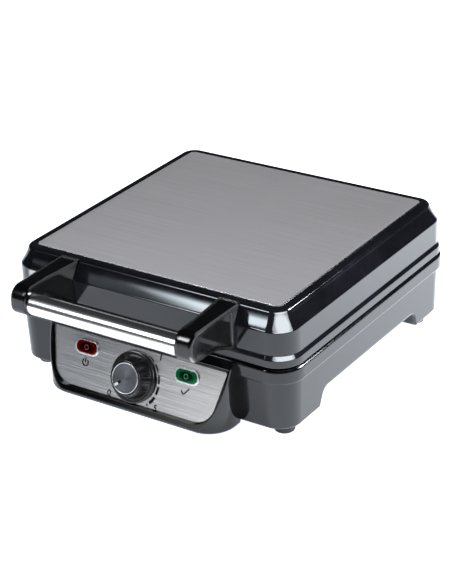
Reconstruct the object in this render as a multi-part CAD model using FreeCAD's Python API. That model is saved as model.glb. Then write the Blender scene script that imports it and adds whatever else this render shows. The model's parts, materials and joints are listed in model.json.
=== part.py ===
"""Waffle maker: a base with a front control box, a hinged lid with a bar handle, and a thermostat knob.

Lengths are in millimetres. Pieces are drawn about the body's centre line, with the front towards -Y and
the table at Z = 0, and are saved with the origin on the table under the middle of the whole object.
"""
import FreeCAD, Part
import math
import os

from FreeCAD import Placement, Rotation, Vector

# Body
body_width = 275.0
body_depth = 267.0
body_height = 109.7
body_corner = 23.0
wall = 2.6
parting_height = 63.2
parting_gap = 0.6
flange_thickness = 3.0
edge_round = 1.2

# Base housing
foot_height = 8.6
foot_radius = 9.0
foot_plug_radius = 4.0
foot_side_inset = 16.0
foot_front_inset = 19.5
foot_rear_inset = 26.5
base_lip_height = 12.6
base_lip_proud = 3.0
base_lip_round = 2.6
base_draft = 1.4
arch_height = 24.2
arch_slant = 9.0
arch_round = 9.0
side_arch_half = 75.0
rear_arch_half = 88.0

# Lid housing
lid_inset = 1.0
lid_lip_height = 10.7
lid_lip_proud = 2.2
lid_lip_shoulder = 3.5
lid_lip_round = 2.0
bevel_drop = 15.4
bevel_run = 8.0
bevel_round = 3.0
cove_run = 3.6
cove_drop = 9.3
cove_round = 46.0
rim_width = 7.5
lid_plate_thickness = 0.8
lid_plate_proud = 0.4
lid_plate_corner = 5.0
lid_plate_gap = 0.6

# Handle
handle_reach = 48.9
handle_drop = 15.5
handle_tube_radius = 8.75
handle_tube_wall = 1.0
handle_tube_half = 72.0
handle_nose = 10.2
handle_spigot = 12.0
arm_width = 16.0
arm_nose_round = 11.6
arm_root_flare = 4.5
arm_top_drop = 0.5
arm_root_rise = 7.2
arm_belly_drop = 27.7
arm_belly_reach = 23.7
arm_chin_drop = 23.9
arm_chin_round = 9.3
arm_belly_round = 23.0
arm_round = 1.8
arm_dish_margin = 3.2
arm_dish_depth = 1.6

# Control box and its panel
panel_tilt = 21.0
panel_standoff = 8.6
panel_top_height = 54.4
panel_height = 45.0
panel_top_half = 85.5
panel_bottom_half = 75.5
panel_corner = 18.0
panel_top_corner = 1.5
panel_groove = 1.2
fascia_thickness = 0.8
box_bottom = 4.0
box_half = 88.8
box_reach = 29.2
box_corner = 24.5
box_rim_proud = 2.6
box_rim_border = 2.8
box_shoulder_angle = 30.0
box_drop = 0.8
box_round = 2.0
box_chin_round = 4.0
box_door_half = 74.0
box_door_gap = 5.6
box_boss_radius = 5.5
box_boss_depth = 11.0
box_boss_heights = (32.0, 45.0)
lamp_offset = 49.2
lamp_drop = 11.3
lens_half_length = 10.2
lens_half_height = 5.0
lens_proud = 1.8
lens_end_flat = 0.5
lens_depth = 8.0
lens_front = 1.4
bezel_width = 1.4
bezel_proud = 1.2
neon_radius = 2.6
neon_length = 14.5
neon_tip_round = 1.8
lamp_holder_length = 10.0
lamp_holder_half = 8.0

# Thermostat and knob
knob_drop = 24.2
knob_gap = 0.8
knob_height = 12.2
knob_skirt_radius = 21.3
knob_skirt_thickness = 2.2
knob_base_radius = 18.2
knob_top_radius = 14.1
knob_hollow_radius = 12.8
knob_roof = 3.2
knob_flutes = 28
knob_flute_radius = 1.1
knob_hub_radius = 5.6
knob_hub_gap = 1.2
knob_cap_radius = 12.6
knob_cap_thickness = 1.0
knob_pointer_angle = 229.0
knob_pointer_length = 7.5
knob_pointer_width = 1.6
knob_pointer_depth = 0.5
shaft_radius = 3.0
shaft_engagement = 8.0
bush_radius = 5.0
nut_flats = 13.0
nut_thickness = 2.4
thermostat_half_width = 15.0
thermostat_half_height = 12.0
thermostat_depth = 14.0
thermostat_live_offset = 10.5

# Waffle plates, heaters and reflectors
plate_margin = 16.0
plate_corner = 10.0
plate_gap = 0.8
plate_meeting_gap = 0.5
plate_border = 9.0
plate_divider = 8.0
plate_floor = 2.6
pocket_depth = 11.0
peg_drop = 4.2
pegs_across = 5
peg_width = 12.5
peg_draft = 0.12
heater_radius = 3.3
heater_inset_x = 43.5
heater_inset_y = 42.5
heater_bend = 25.0
heater_end_half = 18.0
heater_end_bend = 8.0
heater_sink = 2.0
ridge_width = 12.0
ridge_height = 4.0
boss_radius = 6.0
boss_length = 10.0
boss_x = 60.0
boss_inset = 16.5
reflector_inset_x = 18.5
reflector_inset_y = 7.5
reflector_corner = 12.0
reflector_thickness = 0.8
reflector_rim = 6.0
insulator_radius = 5.0
insulator_length = 3.0
heater_tail = 7.0
screw_radius = 2.0
screw_head_radius = 3.8
screw_head_height = 2.4
screw_grip = 6.0
screw_bite = 7.0
small_screw_radius = 1.5
small_screw_head_radius = 2.6
small_screw_head_height = 1.6
small_screw_length = 10.0
handle_screw_rise = 3.1
handle_screw_pitch = 6.0

# Hinge
lid_open = 100.0
hinge_rise = 8.0
hinge_clear = 2.0
ear_radius = 9.0
ear_thickness = 7.0
hinge_inner = 70.0
knuckle_width = 20.0
knuckle_side_gap = 0.4
tower_width = 26.0
tower_bottom = 28.0
tower_round = 5.0
stop_drop = 11.0
stop_gap = 0.3
heel_length = 7.0
stub_radius = 5.0
stub_bore_radius = 3.0
stub_engagement = 7.0
outer_stub_engagement = 4.0
bush_wall = 2.0

# Wiring, sensor and supply
lead_radius = 2.2
lead_bend = 8.0
lead_turn = 3.5
lead_gap = 0.2
lead_drop_x = 50.0
lead_lid_height = 88.2
wire_radius = 1.2
wire_bend = 6.0
wire_hang = 5.3
wire_end_gap = 0.3
wire_spread = 1.3
bulb_radius = 2.5
bulb_length = 50.0
bulb_x = 25.0
bulb_inset = 17.0
capillary_radius = 0.8
capillary_bend = 4.0
clip_half_width = 6.0
clip_half_length = 5.0
fuse_radius = 2.0
fuse_length = 16.0
fuse_y = 20.0
block_half_width = 14.0
block_depth = 14.0
block_height = 9.5
block_x = -38.0
block_gland_gap = 1.5
block_pole_pitch = 8.0
block_screw_radius = 1.8
gland_x = -30.0
gland_height = 40.0
gland_radius = 6.5
gland_bore_radius = 3.6
gland_flange_radius = 9.0
gland_flange_thickness = 2.5
gland_nose = 9.0
gland_inside = 5.0

# Clearances
fit = 0.03
running_clearance = 0.08
hole_clearance = 0.2
beyond_faces = 1.0
same_place = 1e-6
same_direction = 1e-3

# Levels and half sizes that follow from the sizes above
base_half_x = body_width / 2 - base_lip_proud
base_half_y = body_depth / 2 - base_lip_proud
base_corner = body_corner - base_lip_proud
base_top = parting_height - parting_gap / 2
base_lip_bottom = base_top - base_lip_height
base_flange_under = base_top - flange_thickness
floor_top = arch_height + wall
lid_half_x = body_width / 2 - lid_inset - lid_lip_proud
lid_half_y = body_depth / 2 - lid_inset - lid_lip_proud
lid_corner = body_corner - lid_inset - lid_lip_proud
lid_bottom = parting_height + parting_gap / 2
lid_flange_top = lid_bottom + flange_thickness
lid_rim = body_height - lid_plate_proud
lid_bevel_foot = lid_rim - bevel_drop
lid_plate_seat = body_height - lid_plate_thickness
lid_roof = lid_plate_seat - wall
lid_plate_half_x = lid_half_x - bevel_run - rim_width
lid_plate_half_y = lid_half_y - bevel_run - rim_width
plate_half_x = base_half_x - plate_margin
plate_half_y = base_half_y - plate_margin
boss_y = plate_half_y - boss_inset
heater_half_x = plate_half_x - heater_inset_x
heater_half_y = plate_half_y - heater_inset_y
bulb_front = bulb_inset - heater_half_y
reflector_half_x = plate_half_x - reflector_inset_x
reflector_half_y = plate_half_y - reflector_inset_y
plate_under = pocket_depth + plate_floor
boss_end = plate_under + boss_length
reflector_end = boss_end + reflector_thickness
screw_seat = reflector_end + screw_grip
wire_level = reflector_end + wire_hang
lower_rim = parting_height - plate_meeting_gap / 2
upper_rim = parting_height + plate_meeting_gap / 2
wire_height = lower_rim - wire_level
upper_wire_height = upper_rim + wire_level
box_wall_back = fascia_thickness + wall
rear_inside = base_half_y - base_draft - wall
block_y = rear_inside - gland_inside - block_gland_gap - block_depth
panel_y = -base_half_y - panel_standoff
handle_y = -lid_half_y - handle_reach
handle_height = lid_rim - handle_drop
arm_root_height = lid_bottom + arm_root_rise
arm_belly_height = lid_rim - arm_belly_drop
arm_chin_height = lid_rim - arm_chin_drop
arm_outer = handle_tube_half + arm_width
arm_underside_slope = (arm_belly_height - arm_root_height) / (arm_belly_reach + wall)
handle_screw_tip_under = arm_root_height + arm_underside_slope * (small_screw_length + wall)
hinge_y = body_depth / 2 - lid_inset + hinge_clear + ear_radius
hinge_z = parting_height + hinge_rise
stop_top = hinge_z - stop_drop
knuckle_start = hinge_inner + knuckle_side_gap
knuckle_end = hinge_inner + knuckle_width - knuckle_side_gap
ear_end = hinge_inner + knuckle_width + ear_thickness
inner_stub_start = lead_drop_x + lead_bend
inner_stub_end = hinge_inner + stub_engagement
outer_stub_start = hinge_inner + knuckle_width - outer_stub_engagement
lead_meeting_x = inner_stub_end + lead_gap
heel_height = stop_drop - stop_gap
rear_reach = max(ear_radius, heel_height * math.sin(math.radians(lid_open)))
middle_y = (handle_y - handle_nose + hinge_y + rear_reach) / 2
up = Vector(0, 0, 1)
origin = Vector(0, 0, 0)
quarters = [(side, end) for side in (-1, 1) for end in (-1, 1)]


def rounded_wire(points, radii, closed):
    """Join points with straight runs and a tangent arc of the given radius at each point."""
    edges = []
    marks = []
    count = len(points)
    for index, point in enumerate(points):
        radius = radii[index]
        if radius <= 0 or (not closed and index in (0, count - 1)):
            marks.append((point, point, None))
            continue
        before = (points[index - 1] - point).normalize()
        after = (points[(index + 1) % count] - point).normalize()
        half = before.getAngle(after) / 2
        reach = radius / math.tan(half)
        inward = (before + after).normalize()
        middle = point + inward * (radius / math.sin(half) - radius)
        marks.append((point + before * reach, point + after * reach, middle))
    for index, (start, end, middle) in enumerate(marks):
        if middle is not None:
            edges.append(Part.Arc(start, middle, end).toShape())
        if closed or index < count - 1:
            following = marks[(index + 1) % count][0]
            if end.distanceToPoint(following) > same_place:
                edges.append(Part.LineSegment(end, following).toShape())
    return Part.Wire(edges)


def flat(corners, place):
    """Face through corners (a, b, radius), put in space by place(a, b)."""
    points = [place(corner[0], corner[1]) for corner in corners]
    return Part.Face(rounded_wire(points, [corner[2] for corner in corners], True))


def box(x_low, x_high, y_low, y_high, z_low, z_high):
    """Block between two corners."""
    return Part.makeBox(x_high - x_low, y_high - y_low, z_high - z_low, Vector(x_low, y_low, z_low))


def bar(start, end, radius):
    """Round bar between two points."""
    run = end - start
    return Part.makeCylinder(radius, run.Length, start, run)


def upright(x, y, low, high, radius):
    """Round bar along Z."""
    return bar(Vector(x, y, low), Vector(x, y, high), radius)


def lengthwise(x, z, front, back, radius):
    """Round bar along Y."""
    return bar(Vector(x, front, z), Vector(x, back, z), radius)


def turned(corners):
    """Solid of revolution about Z of a half section (radius, height, rounding)."""
    return flat(corners, lambda a, b: Vector(a, 0, b)).revolve(origin, up, 360)


def tube(points, bend, radius):
    """Round bar along straight runs joined by tangent arcs."""
    path = rounded_wire(points, [bend] * len(points), False)
    section = Part.Wire(Part.makeCircle(radius, points[0], points[1] - points[0]))
    return path.makePipeShell([section], True, False)


def rounded_block(half_x, half_y, corner, z_low, z_high):
    """Upright block with rounded corners in plan."""
    turns = ((1, 1), (-1, 1), (-1, -1), (1, -1))
    plan = [(side * half_x, end * half_y, corner) for side, end in turns]
    return flat(plan, lambda a, b: Vector(a, b, z_low)).extrude(up * (z_high - z_low))


def around(section, half_x, half_y, corner, filled=True):
    """Carry a section (offset outwards, height, rounding) round a rounded rectangle, and fill its middle."""
    run_x = half_x - corner
    run_y = half_y - corner
    face = flat(section, lambda a, b: Vector(half_x + a, run_y, b))
    turn = Vector(run_x, run_y, 0)
    end_face = face.copy()
    end_face.rotate(turn, up, 90)
    side = face.extrude(Vector(0, -2 * run_y, 0))
    end = end_face.extrude(Vector(-2 * run_x, 0, 0))
    bend = face.revolve(turn, up, 90)
    bends = [bend, bend.mirror(origin, Vector(1, 0, 0))]
    bends += [piece.mirror(origin, Vector(0, 1, 0)) for piece in bends]
    pieces = bends + [side, side.mirror(origin, Vector(1, 0, 0)), end, end.mirror(origin, Vector(0, 1, 0))]
    if filled:
        heights = [corner_point[1] for corner_point in section]
        pieces.append(box(-run_x, run_x, -run_y, run_y, min(heights), max(heights)))
    return pieces[0].fuse(pieces[1:]).removeSplitter()


def beyond(point, normal, size):
    """Large block that lies on the outer side of a plane."""
    block = Part.makeBox(2 * size, 2 * size, size, Vector(-size, -size, 0))
    block.Placement = Placement(point, Rotation(up, normal))
    return block


def edges_at(shape, height):
    """Edges of a shape that lie at one height."""
    return [edge for edge in shape.Edges if all(abs(v.Z - height) < same_place for v in edge.Vertexes)]


panel_sine = math.sin(math.radians(panel_tilt))
panel_cosine = math.cos(math.radians(panel_tilt))
panel_normal = Vector(0, -panel_cosine, panel_sine)
panel_placement = Placement(Vector(0, panel_y, panel_top_height), Rotation(Vector(1, 0, 0), 90 - panel_tilt))


def panel_point(across, along, out):
    """Point of the panel: across to the right, along up the panel from its top edge, out from its face."""
    return panel_placement.multVec(Vector(across, along, out))


def on_panel(shape):
    """Put a shape drawn about the panel's top edge, with Z out of the panel, in its place."""
    placed = shape.copy()
    placed.Placement = panel_placement.multiply(placed.Placement)
    return placed


def at_knob(shape):
    """Put a shape drawn about the knob's axis on the panel."""
    return on_panel(shape.translated(Vector(0, -knob_drop, 0)))


def side_arch(grow):
    """Space under the base from side to side, between front and rear legs, grown by a wall."""
    low = side_arch_half + arch_slant + grow
    top = arch_height + grow
    half = side_arch_half + grow
    section = [(-low, 0, 0), (-half, top, arch_round + grow), (half, top, arch_round + grow), (low, 0, 0)]
    return flat(section, lambda a, b: Vector(-body_width, a, b)).extrude(Vector(2 * body_width, 0, 0))


def rear_arch(grow, front):
    """Space under the base between left and right legs, from a front plane out to the rear."""
    low = rear_arch_half + arch_slant + grow
    top = arch_height + grow
    half = rear_arch_half + grow
    section = [(-low, 0, 0), (-half, top, arch_round + grow), (half, top, arch_round + grow), (low, 0, 0)]
    return flat(section, lambda a, b: Vector(a, front, b)).extrude(Vector(0, body_depth - front, 0))


def base_solid():
    """Outside of the base with no hollow."""
    section = [
        (-base_corner, foot_height, 0),
        (-base_draft, foot_height, edge_round),
        (0, base_lip_bottom, 0),
        (base_lip_proud, base_lip_bottom, edge_round),
        (base_lip_proud, base_top, base_lip_round),
        (-base_corner, base_top, 0),
    ]
    return around(section, base_half_x, base_half_y, base_corner)


def base_hollow():
    """Room inside the base, down into the four legs."""
    section = [
        (-base_corner, foot_height + wall, 0),
        (-base_draft - wall, foot_height + wall, 0),
        (-wall, base_flange_under, 0),
        (-base_corner, base_flange_under, 0),
    ]
    room = around(section, base_half_x, base_half_y, base_corner)
    return room.cut([side_arch(wall), rear_arch(wall, -body_depth)])


def plate_opening(z_low, z_high):
    """Hole in a housing's flange round a waffle plate."""
    half_x = plate_half_x + plate_gap
    half_y = plate_half_y + plate_gap
    return rounded_block(half_x, half_y, plate_corner + plate_gap, z_low, z_high)


def lid_solid():
    """Outside of the lid with no hollow."""
    section = [
        (-lid_corner, lid_bottom, 0),
        (lid_lip_proud, lid_bottom, lid_lip_round),
        (lid_lip_proud, lid_bottom + lid_lip_height - lid_lip_shoulder, lid_lip_round),
        (0, lid_bottom + lid_lip_height, lid_lip_round),
        (0, lid_bevel_foot, bevel_round),
        (cove_run - bevel_run, lid_rim - cove_drop, cove_round),
        (-bevel_run, lid_rim, bevel_round),
        (-lid_corner, lid_rim, 0),
    ]
    return around(section, lid_half_x, lid_half_y, lid_corner)


def lid_hollow():
    """Room inside the lid above its flange."""
    section = [
        (-lid_corner, lid_flange_top, 0),
        (-wall, lid_flange_top, 0),
        (-wall, lid_bevel_foot - wall, 0),
        (-wall - bevel_run, lid_roof, 0),
        (-lid_corner, lid_roof, 0),
    ]
    return around(section, lid_half_x, lid_half_y, lid_corner)


def plate_screw_places():
    """Plan positions of the screws that hold each waffle plate."""
    return [(side * boss_x, end * boss_y) for side, end in quarters]


def foot_places():
    """Plan positions of the feet."""
    side = base_half_x - foot_side_inset
    front = -base_half_y + foot_front_inset
    rear = base_half_y - foot_rear_inset
    return [(-side, front), (side, front), (-side, rear), (side, rear)]


def hinge_point(x):
    """Point on the hinge axis."""
    return Vector(x, hinge_y, hinge_z)


base_lead_route = [
    Vector(block_x + block_half_width + wire_end_gap, block_y + block_depth / 2, wire_height),
    Vector(lead_drop_x, block_y + block_depth / 2, wire_height),
    Vector(lead_drop_x, hinge_y, wire_height),
    hinge_point(lead_drop_x),
    hinge_point(lead_meeting_x),
]
lid_lead_room = (lid_half_y - wall + plate_half_y) / 2
lid_lead_x = lead_meeting_x + lead_gap + lead_turn + beyond_faces
lid_lead_route = [
    hinge_point(lead_meeting_x + lead_gap),
    hinge_point(lid_lead_x),
    Vector(lid_lead_x, lid_lead_room, hinge_z),
    Vector(lid_lead_x, lid_lead_room, lead_lid_height),
    Vector(heater_end_half + 2 * lead_bend, lid_lead_room, lead_lid_height),
]


def hinge_towers():
    """Two towers on the rear of the base, each with an inner and an outer ear on the hinge axis."""
    near = hinge_y - ear_radius
    far = hinge_y + ear_radius
    top = hinge_z + ear_radius
    ear_foot = stop_top - wall
    ear = [(near, ear_foot, 0), (far, ear_foot, 0), (far, top, ear_radius), (near, top, ear_radius)]
    root = base_half_y - base_draft
    low = tower_bottom
    block = [(root, low, 0), (far, low, tower_round), (far, stop_top, 0), (root, stop_top, 0)]
    spans = [
        (ear, hinge_inner - tower_width, hinge_inner),
        (ear, hinge_inner + knuckle_width, ear_end),
        (block, hinge_inner - tower_width, ear_end),
    ]
    towers = []
    for section, start, end in spans:
        tower = flat(section, lambda a, b: Vector(start, a, b)).extrude(Vector(end - start, 0, 0))
        towers += [tower, tower.mirror(origin, Vector(1, 0, 0))]
    return towers


def tower_hollows():
    """Core of each tower, open to the room inside the base, between walls."""
    hollows = []
    for side in (-1, 1):
        inner = side * (hinge_inner - tower_width + wall)
        outer = side * (ear_end - wall)
        low, high = sorted((inner, outer))
        front = rear_inside - beyond_faces
        back = hinge_y + ear_radius - wall
        top = min(stop_top, base_flange_under) - wall
        hollows.append(box(low, high, front, back, tower_bottom + wall, top))
    return hollows


def make_base_housing(solid):
    """One-piece lower housing with legs, flange, screw posts and hinge towers."""
    posts = []
    bores = []
    post_end = lower_rim - reflector_end
    for x, y in plate_screw_places():
        posts.append(upright(x, y, arch_height, post_end, boss_radius))
        bores.append(upright(x, y, 0, lower_rim - screw_seat, screw_head_radius + hole_clearance))
        bores.append(upright(x, y, 0, post_end + beyond_faces, screw_radius + hole_clearance))
    front_inside = -base_half_y + base_draft + wall
    rooms = [side_arch(0), rear_arch(0, front_inside), base_hollow()] + tower_hollows()
    shell = solid.fuse(hinge_towers()).cut(rooms)
    shell = shell.cut(plate_opening(base_flange_under - beyond_faces, base_top + beyond_faces)).fuse(posts)
    holder_top = panel_point(0, lens_half_height - lamp_drop, -lens_depth - lamp_holder_length)
    door_top = holder_top.z + box_door_gap
    front_outside = -body_depth / 2
    front_through = front_inside + beyond_faces
    door = box(-box_door_half, box_door_half, front_outside, front_through, floor_top, door_top)
    plug_top = foot_height + 2 * wall
    feet = [upright(x, y, 0, plug_top, foot_plug_radius + fit) for x, y in foot_places()]
    gland = lengthwise(gland_x, gland_height, base_half_y / 2, body_depth, gland_radius + fit)
    screw_hole = small_screw_radius + hole_clearance
    box_screws = [lengthwise(x, z, front_outside, front_through, screw_hole) for x, z in box_screw_places()]
    stubs = []
    for side in (-1, 1):
        for start, end in ((inner_stub_start, hinge_inner), (outer_stub_start, ear_end + beyond_faces)):
            stubs.append(bar(hinge_point(side * start), hinge_point(side * end), stub_radius + fit))
    duct = tube(base_lead_route, lead_bend, lead_radius + 2 * hole_clearance)
    return shell.cut(bores + [door, gland, duct] + feet + box_screws + stubs).removeSplitter()


def make_feet():
    """Four rubber feet, each with a plug pressed up into its leg."""
    section = [
        (0, 0, 0),
        (foot_radius - edge_round / 2, 0, edge_round),
        (foot_radius, foot_height, 0),
        (foot_plug_radius, foot_height, 0),
        (foot_plug_radius, foot_height + wall, 0),
        (0, foot_height + wall, 0),
    ]
    foot = turned(section)
    return [foot.translated(Vector(x, y, 0)) for x, y in foot_places()]


def box_screw_places():
    """Positions, across and up, of the screws that hold the control box."""
    across = box_half - wall - box_boss_radius + beyond_faces
    return [(side * across, height) for side in (-1, 1) for height in box_boss_heights]


def control_block(inset, front):
    """Control box outline, drawn in by a wall, with its front plane at a distance out of the panel."""
    half = box_half - inset
    reach = -base_half_y - box_reach + inset
    corner = box_corner - inset
    low = box_bottom + inset
    high = base_top - box_drop - inset
    section = [(-corner, low, 0), (0, low, box_chin_round - inset), (0, high, 0), (-corner, high, 0)]
    block = around(section, half, half, corner).translated(Vector(0, reach + half, 0))
    block = block.common(box(-half, half, -body_depth, -base_half_y + base_draft, 0, body_height))
    tilt = math.radians(box_shoulder_angle)
    shoulder_normal = Vector(0, -math.sin(tilt), math.cos(tilt))
    shoulder = panel_point(0, box_rim_border, box_rim_proud) - shoulder_normal * inset
    rim_cut = beyond(panel_point(0, 0, front), panel_normal, body_width)
    return block.cut([rim_cut, beyond(shoulder, shoulder_normal, body_width)])


def panel_outline(grow):
    """Corners of the fascia, grown all round."""
    top = panel_top_half + grow
    bottom = panel_bottom_half + grow
    return [
        (-top, grow, panel_top_corner + grow),
        (-bottom, -panel_height - grow, panel_corner + grow),
        (bottom, -panel_height - grow, panel_corner + grow),
        (top, grow, panel_top_corner + grow),
    ]


def panel_prism(grow, low, high):
    """Prism of the fascia's outline between two distances out of the panel."""
    return on_panel(flat(panel_outline(grow), lambda a, b: Vector(a, b, low)).extrude(up * (high - low)))


def lamp_block(half_length, half_height, low, high, side):
    """Rounded block round a lamp's axis, drawn in the panel's own frame."""
    block = rounded_block(half_length, half_height, half_height - lens_end_flat, low, high)
    return block.translated(Vector(side * lamp_offset, -lamp_drop, 0))


def panel_holes(low, high):
    """Lamp and thermostat holes through what lies at the panel."""
    lens_x = lens_half_length + hole_clearance
    lens_y = lens_half_height + hole_clearance
    holes = [on_panel(lamp_block(lens_x, lens_y, low, high, side)) for side in (-1, 1)]
    holes.append(at_knob(upright(0, 0, low, high, bush_radius + hole_clearance)))
    return holes


def make_control_box(solid):
    """Front box with a raised rim round the fascia, open behind to the base."""
    outer = control_block(0, box_rim_proud)
    rim_edges = []
    for face in outer.Faces:
        if face.normalAt(0, 0).getAngle(panel_normal) < same_direction:
            rim_edges = face.Edges
    outer = outer.makeFillet(box_round, rim_edges)
    bosses = []
    pilots = []
    for x, z in box_screw_places():
        back = -base_half_y + base_corner
        tip = -base_half_y - box_boss_depth
        bosses.append(lengthwise(x, z, tip, back, box_boss_radius))
        pilots.append(lengthwise(x, z, tip + wall, back, small_screw_radius + fit))
    sill = box(-box_half, box_half, -base_half_y - wall, -base_half_y + base_corner, 0, foot_height + wall)
    inner = control_block(wall, -box_wall_back).cut(bosses + [sill])
    pocket = panel_prism(panel_groove, -fascia_thickness, body_depth)
    holes = panel_holes(-body_height, body_height)
    return outer.cut([inner, pocket] + holes + pilots).cut(solid)


def make_fascia():
    """Brushed metal sheet in the control box's pocket."""
    return panel_prism(0, -fascia_thickness, 0).cut(panel_holes(-body_height, body_height))


def make_lens(side):
    """Lamp lens with a soft top edge and a blind hole for its neon lamp."""
    lens = lamp_block(lens_half_length, lens_half_height, -lens_depth, lens_proud, side)
    lens = lens.makeFillet(min(edge_round, lens_proud / 2), edges_at(lens, lens_proud))
    foot = Vector(side * lamp_offset, -lamp_drop, -lens_depth)
    hole = bar(foot, foot + up * (lens_depth + lens_proud - lens_front), neon_radius + hole_clearance)
    return on_panel(lens.cut(hole))


def make_bezels():
    """Two bright rings on the fascia round the lenses."""
    rings = []
    for side in (-1, 1):
        half_length = lens_half_length + bezel_width
        ring = lamp_block(half_length, lens_half_height + bezel_width, 0, bezel_proud, side)
        ring = ring.makeFillet(bezel_proud / 2, edges_at(ring, bezel_proud))
        gap = lamp_block(lens_half_length + fit, lens_half_height + fit, -bezel_proud, 2 * bezel_proud, side)
        rings.append(on_panel(ring.cut(gap)))
    return rings


def make_neon_lamps():
    """Two neon lamps with round tips, standing in their holders."""
    lamps = []
    for side in (-1, 1):
        base = Vector(side * lamp_offset, -lamp_drop, -lens_depth - lamp_holder_length + wall)
        lamp = bar(base, base + up * neon_length, neon_radius)
        lamps.append(on_panel(lamp.makeFillet(neon_tip_round, edges_at(lamp, base.z + neon_length))))
    return lamps


def make_lamp_holders():
    """Two sockets that close the back of the lenses."""
    holders = []
    for side in (-1, 1):
        low = -lens_depth - lamp_holder_length
        holder = lamp_block(lamp_holder_half, lens_half_height, low, -lens_depth, side)
        base = Vector(side * lamp_offset, -lamp_drop, low + wall)
        holders.append(on_panel(holder.cut(bar(base, base + up * lamp_holder_length, neon_radius + fit))))
    return holders


def make_thermostat_body():
    """Thermostat block behind the panel with the bush that its shaft runs in."""
    low = -box_wall_back - thermostat_depth
    half_x = thermostat_half_width
    half_y = thermostat_half_height
    block = box(-half_x, half_x, -half_y, half_y, low, -box_wall_back)
    bush = upright(0, 0, -box_wall_back, nut_thickness + edge_round, bush_radius)
    bore_end = -box_wall_back - shaft_engagement
    bore = upright(0, 0, bore_end, knob_height, shaft_radius + running_clearance)
    return at_knob(block.fuse(bush).cut(bore))


def make_thermostat_nut():
    """Hexagon nut that clamps the thermostat through the box and the fascia."""
    across = nut_flats / math.sqrt(3)
    corners = [(across * math.cos(math.pi * k / 3), across * math.sin(math.pi * k / 3), 0) for k in range(6)]
    nut = flat(corners, lambda a, b: Vector(a, b, 0)).extrude(up * nut_thickness)
    return at_knob(nut.cut(bar(origin, up * nut_thickness, bush_radius + fit)))


def make_thermostat_shaft():
    """Steel shaft from inside the thermostat up into the knob's hub."""
    low = -box_wall_back - shaft_engagement + edge_round
    return at_knob(upright(0, 0, low, knob_gap + knob_height - knob_roof, shaft_radius))


def make_knob():
    """Fluted knob with a skirt, a hollow for the nut and a hub on the shaft."""
    bore = shaft_radius + fit
    hub_low = nut_thickness + edge_round + knob_hub_gap - knob_gap
    roof = knob_height - knob_roof
    seat = knob_height - knob_cap_thickness
    section = [
        (0, roof + fit, 0),
        (bore, roof + fit, 0),
        (bore, hub_low, 0),
        (knob_hub_radius, hub_low, 0),
        (knob_hub_radius, roof, 0),
        (knob_hollow_radius, roof, 0),
        (knob_hollow_radius, 0, 0),
        (knob_skirt_radius, 0, 0),
        (knob_skirt_radius, knob_skirt_thickness, edge_round),
        (knob_base_radius, knob_skirt_thickness, 0),
        (knob_top_radius, knob_height, edge_round / 2),
        (knob_cap_radius + fit, knob_height, 0),
        (knob_cap_radius + fit, seat, 0),
        (0, seat, 0),
    ]
    knob = turned(section)
    flutes = []
    for index in range(knob_flutes):
        angle = 2 * math.pi * index / knob_flutes
        outward = Vector(math.cos(angle), math.sin(angle), 0)
        sink = knob_flute_radius / 2
        low = outward * (knob_base_radius + sink) + up * (knob_skirt_thickness + knob_flute_radius)
        high = outward * (knob_top_radius + sink) + up * (knob_height + knob_flute_radius)
        flutes.append(bar(low, high, knob_flute_radius))
    return at_knob(knob.cut(flutes).translated(up * knob_gap))


def make_knob_cap():
    """Metal disc in the knob's face, with a groove that points to the setting."""
    low = knob_gap + knob_height - knob_cap_thickness
    top = knob_gap + knob_height
    disc = bar(up * low, up * top, knob_cap_radius)
    half = knob_pointer_width / 2
    end = knob_cap_radius - half
    groove = box(-half, half, end - knob_pointer_length, end, top - knob_pointer_depth, top + beyond_faces)
    groove.rotate(origin, up, -knob_pointer_angle)
    return at_knob(disc.cut(groove))


def groove_set(centre, span, length_centre, length, along_x):
    """Channels that leave rows of pegs standing in one waffle pocket."""
    channel = (span - pegs_across * peg_width) / (pegs_across + 1)
    lean = peg_draft * pocket_depth
    grooves = []
    for index in range(pegs_across + 1):
        middle = centre - span / 2 + channel / 2 + index * (peg_width + channel)
        half = channel / 2
        section = [
            (middle - half, -pocket_depth, 0),
            (middle + half, -pocket_depth, 0),
            (middle + half + lean, 0, 0),
            (middle - half - lean, 0, 0),
        ]
        start = length_centre - length / 2
        if along_x:
            face = flat(section, lambda a, b: Vector(start, a, b))
            grooves.append(face.extrude(Vector(length, 0, 0)))
        else:
            face = flat(section, lambda a, b: Vector(a, start, b))
            grooves.append(face.extrude(Vector(0, length, 0)))
    return grooves


def heater_route():
    """Loop of a heater under its plate, open at the rear, with both tails turned away from the plate."""
    level = -plate_under - heater_sink
    tail = -reflector_end - heater_tail
    return [
        Vector(heater_end_half, heater_half_y, tail),
        Vector(heater_end_half, heater_half_y, level),
        Vector(heater_half_x, heater_half_y, level),
        Vector(heater_half_x, -heater_half_y, level),
        Vector(-heater_half_x, -heater_half_y, level),
        Vector(-heater_half_x, heater_half_y, level),
        Vector(-heater_end_half, heater_half_y, level),
        Vector(-heater_end_half, heater_half_y, tail),
    ]


def heater_tube(radius):
    """Heater of a given radius along its route, with tighter bends at the tails than at the corners."""
    route = heater_route()
    radii = [0, heater_end_bend] + [heater_bend] * 4 + [heater_end_bend, 0]
    path = rounded_wire(route, radii, False)
    section = Part.Wire(Part.makeCircle(radius, route[0], route[1] - route[0]))
    return path.makePipeShell([section], True, False)


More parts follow.
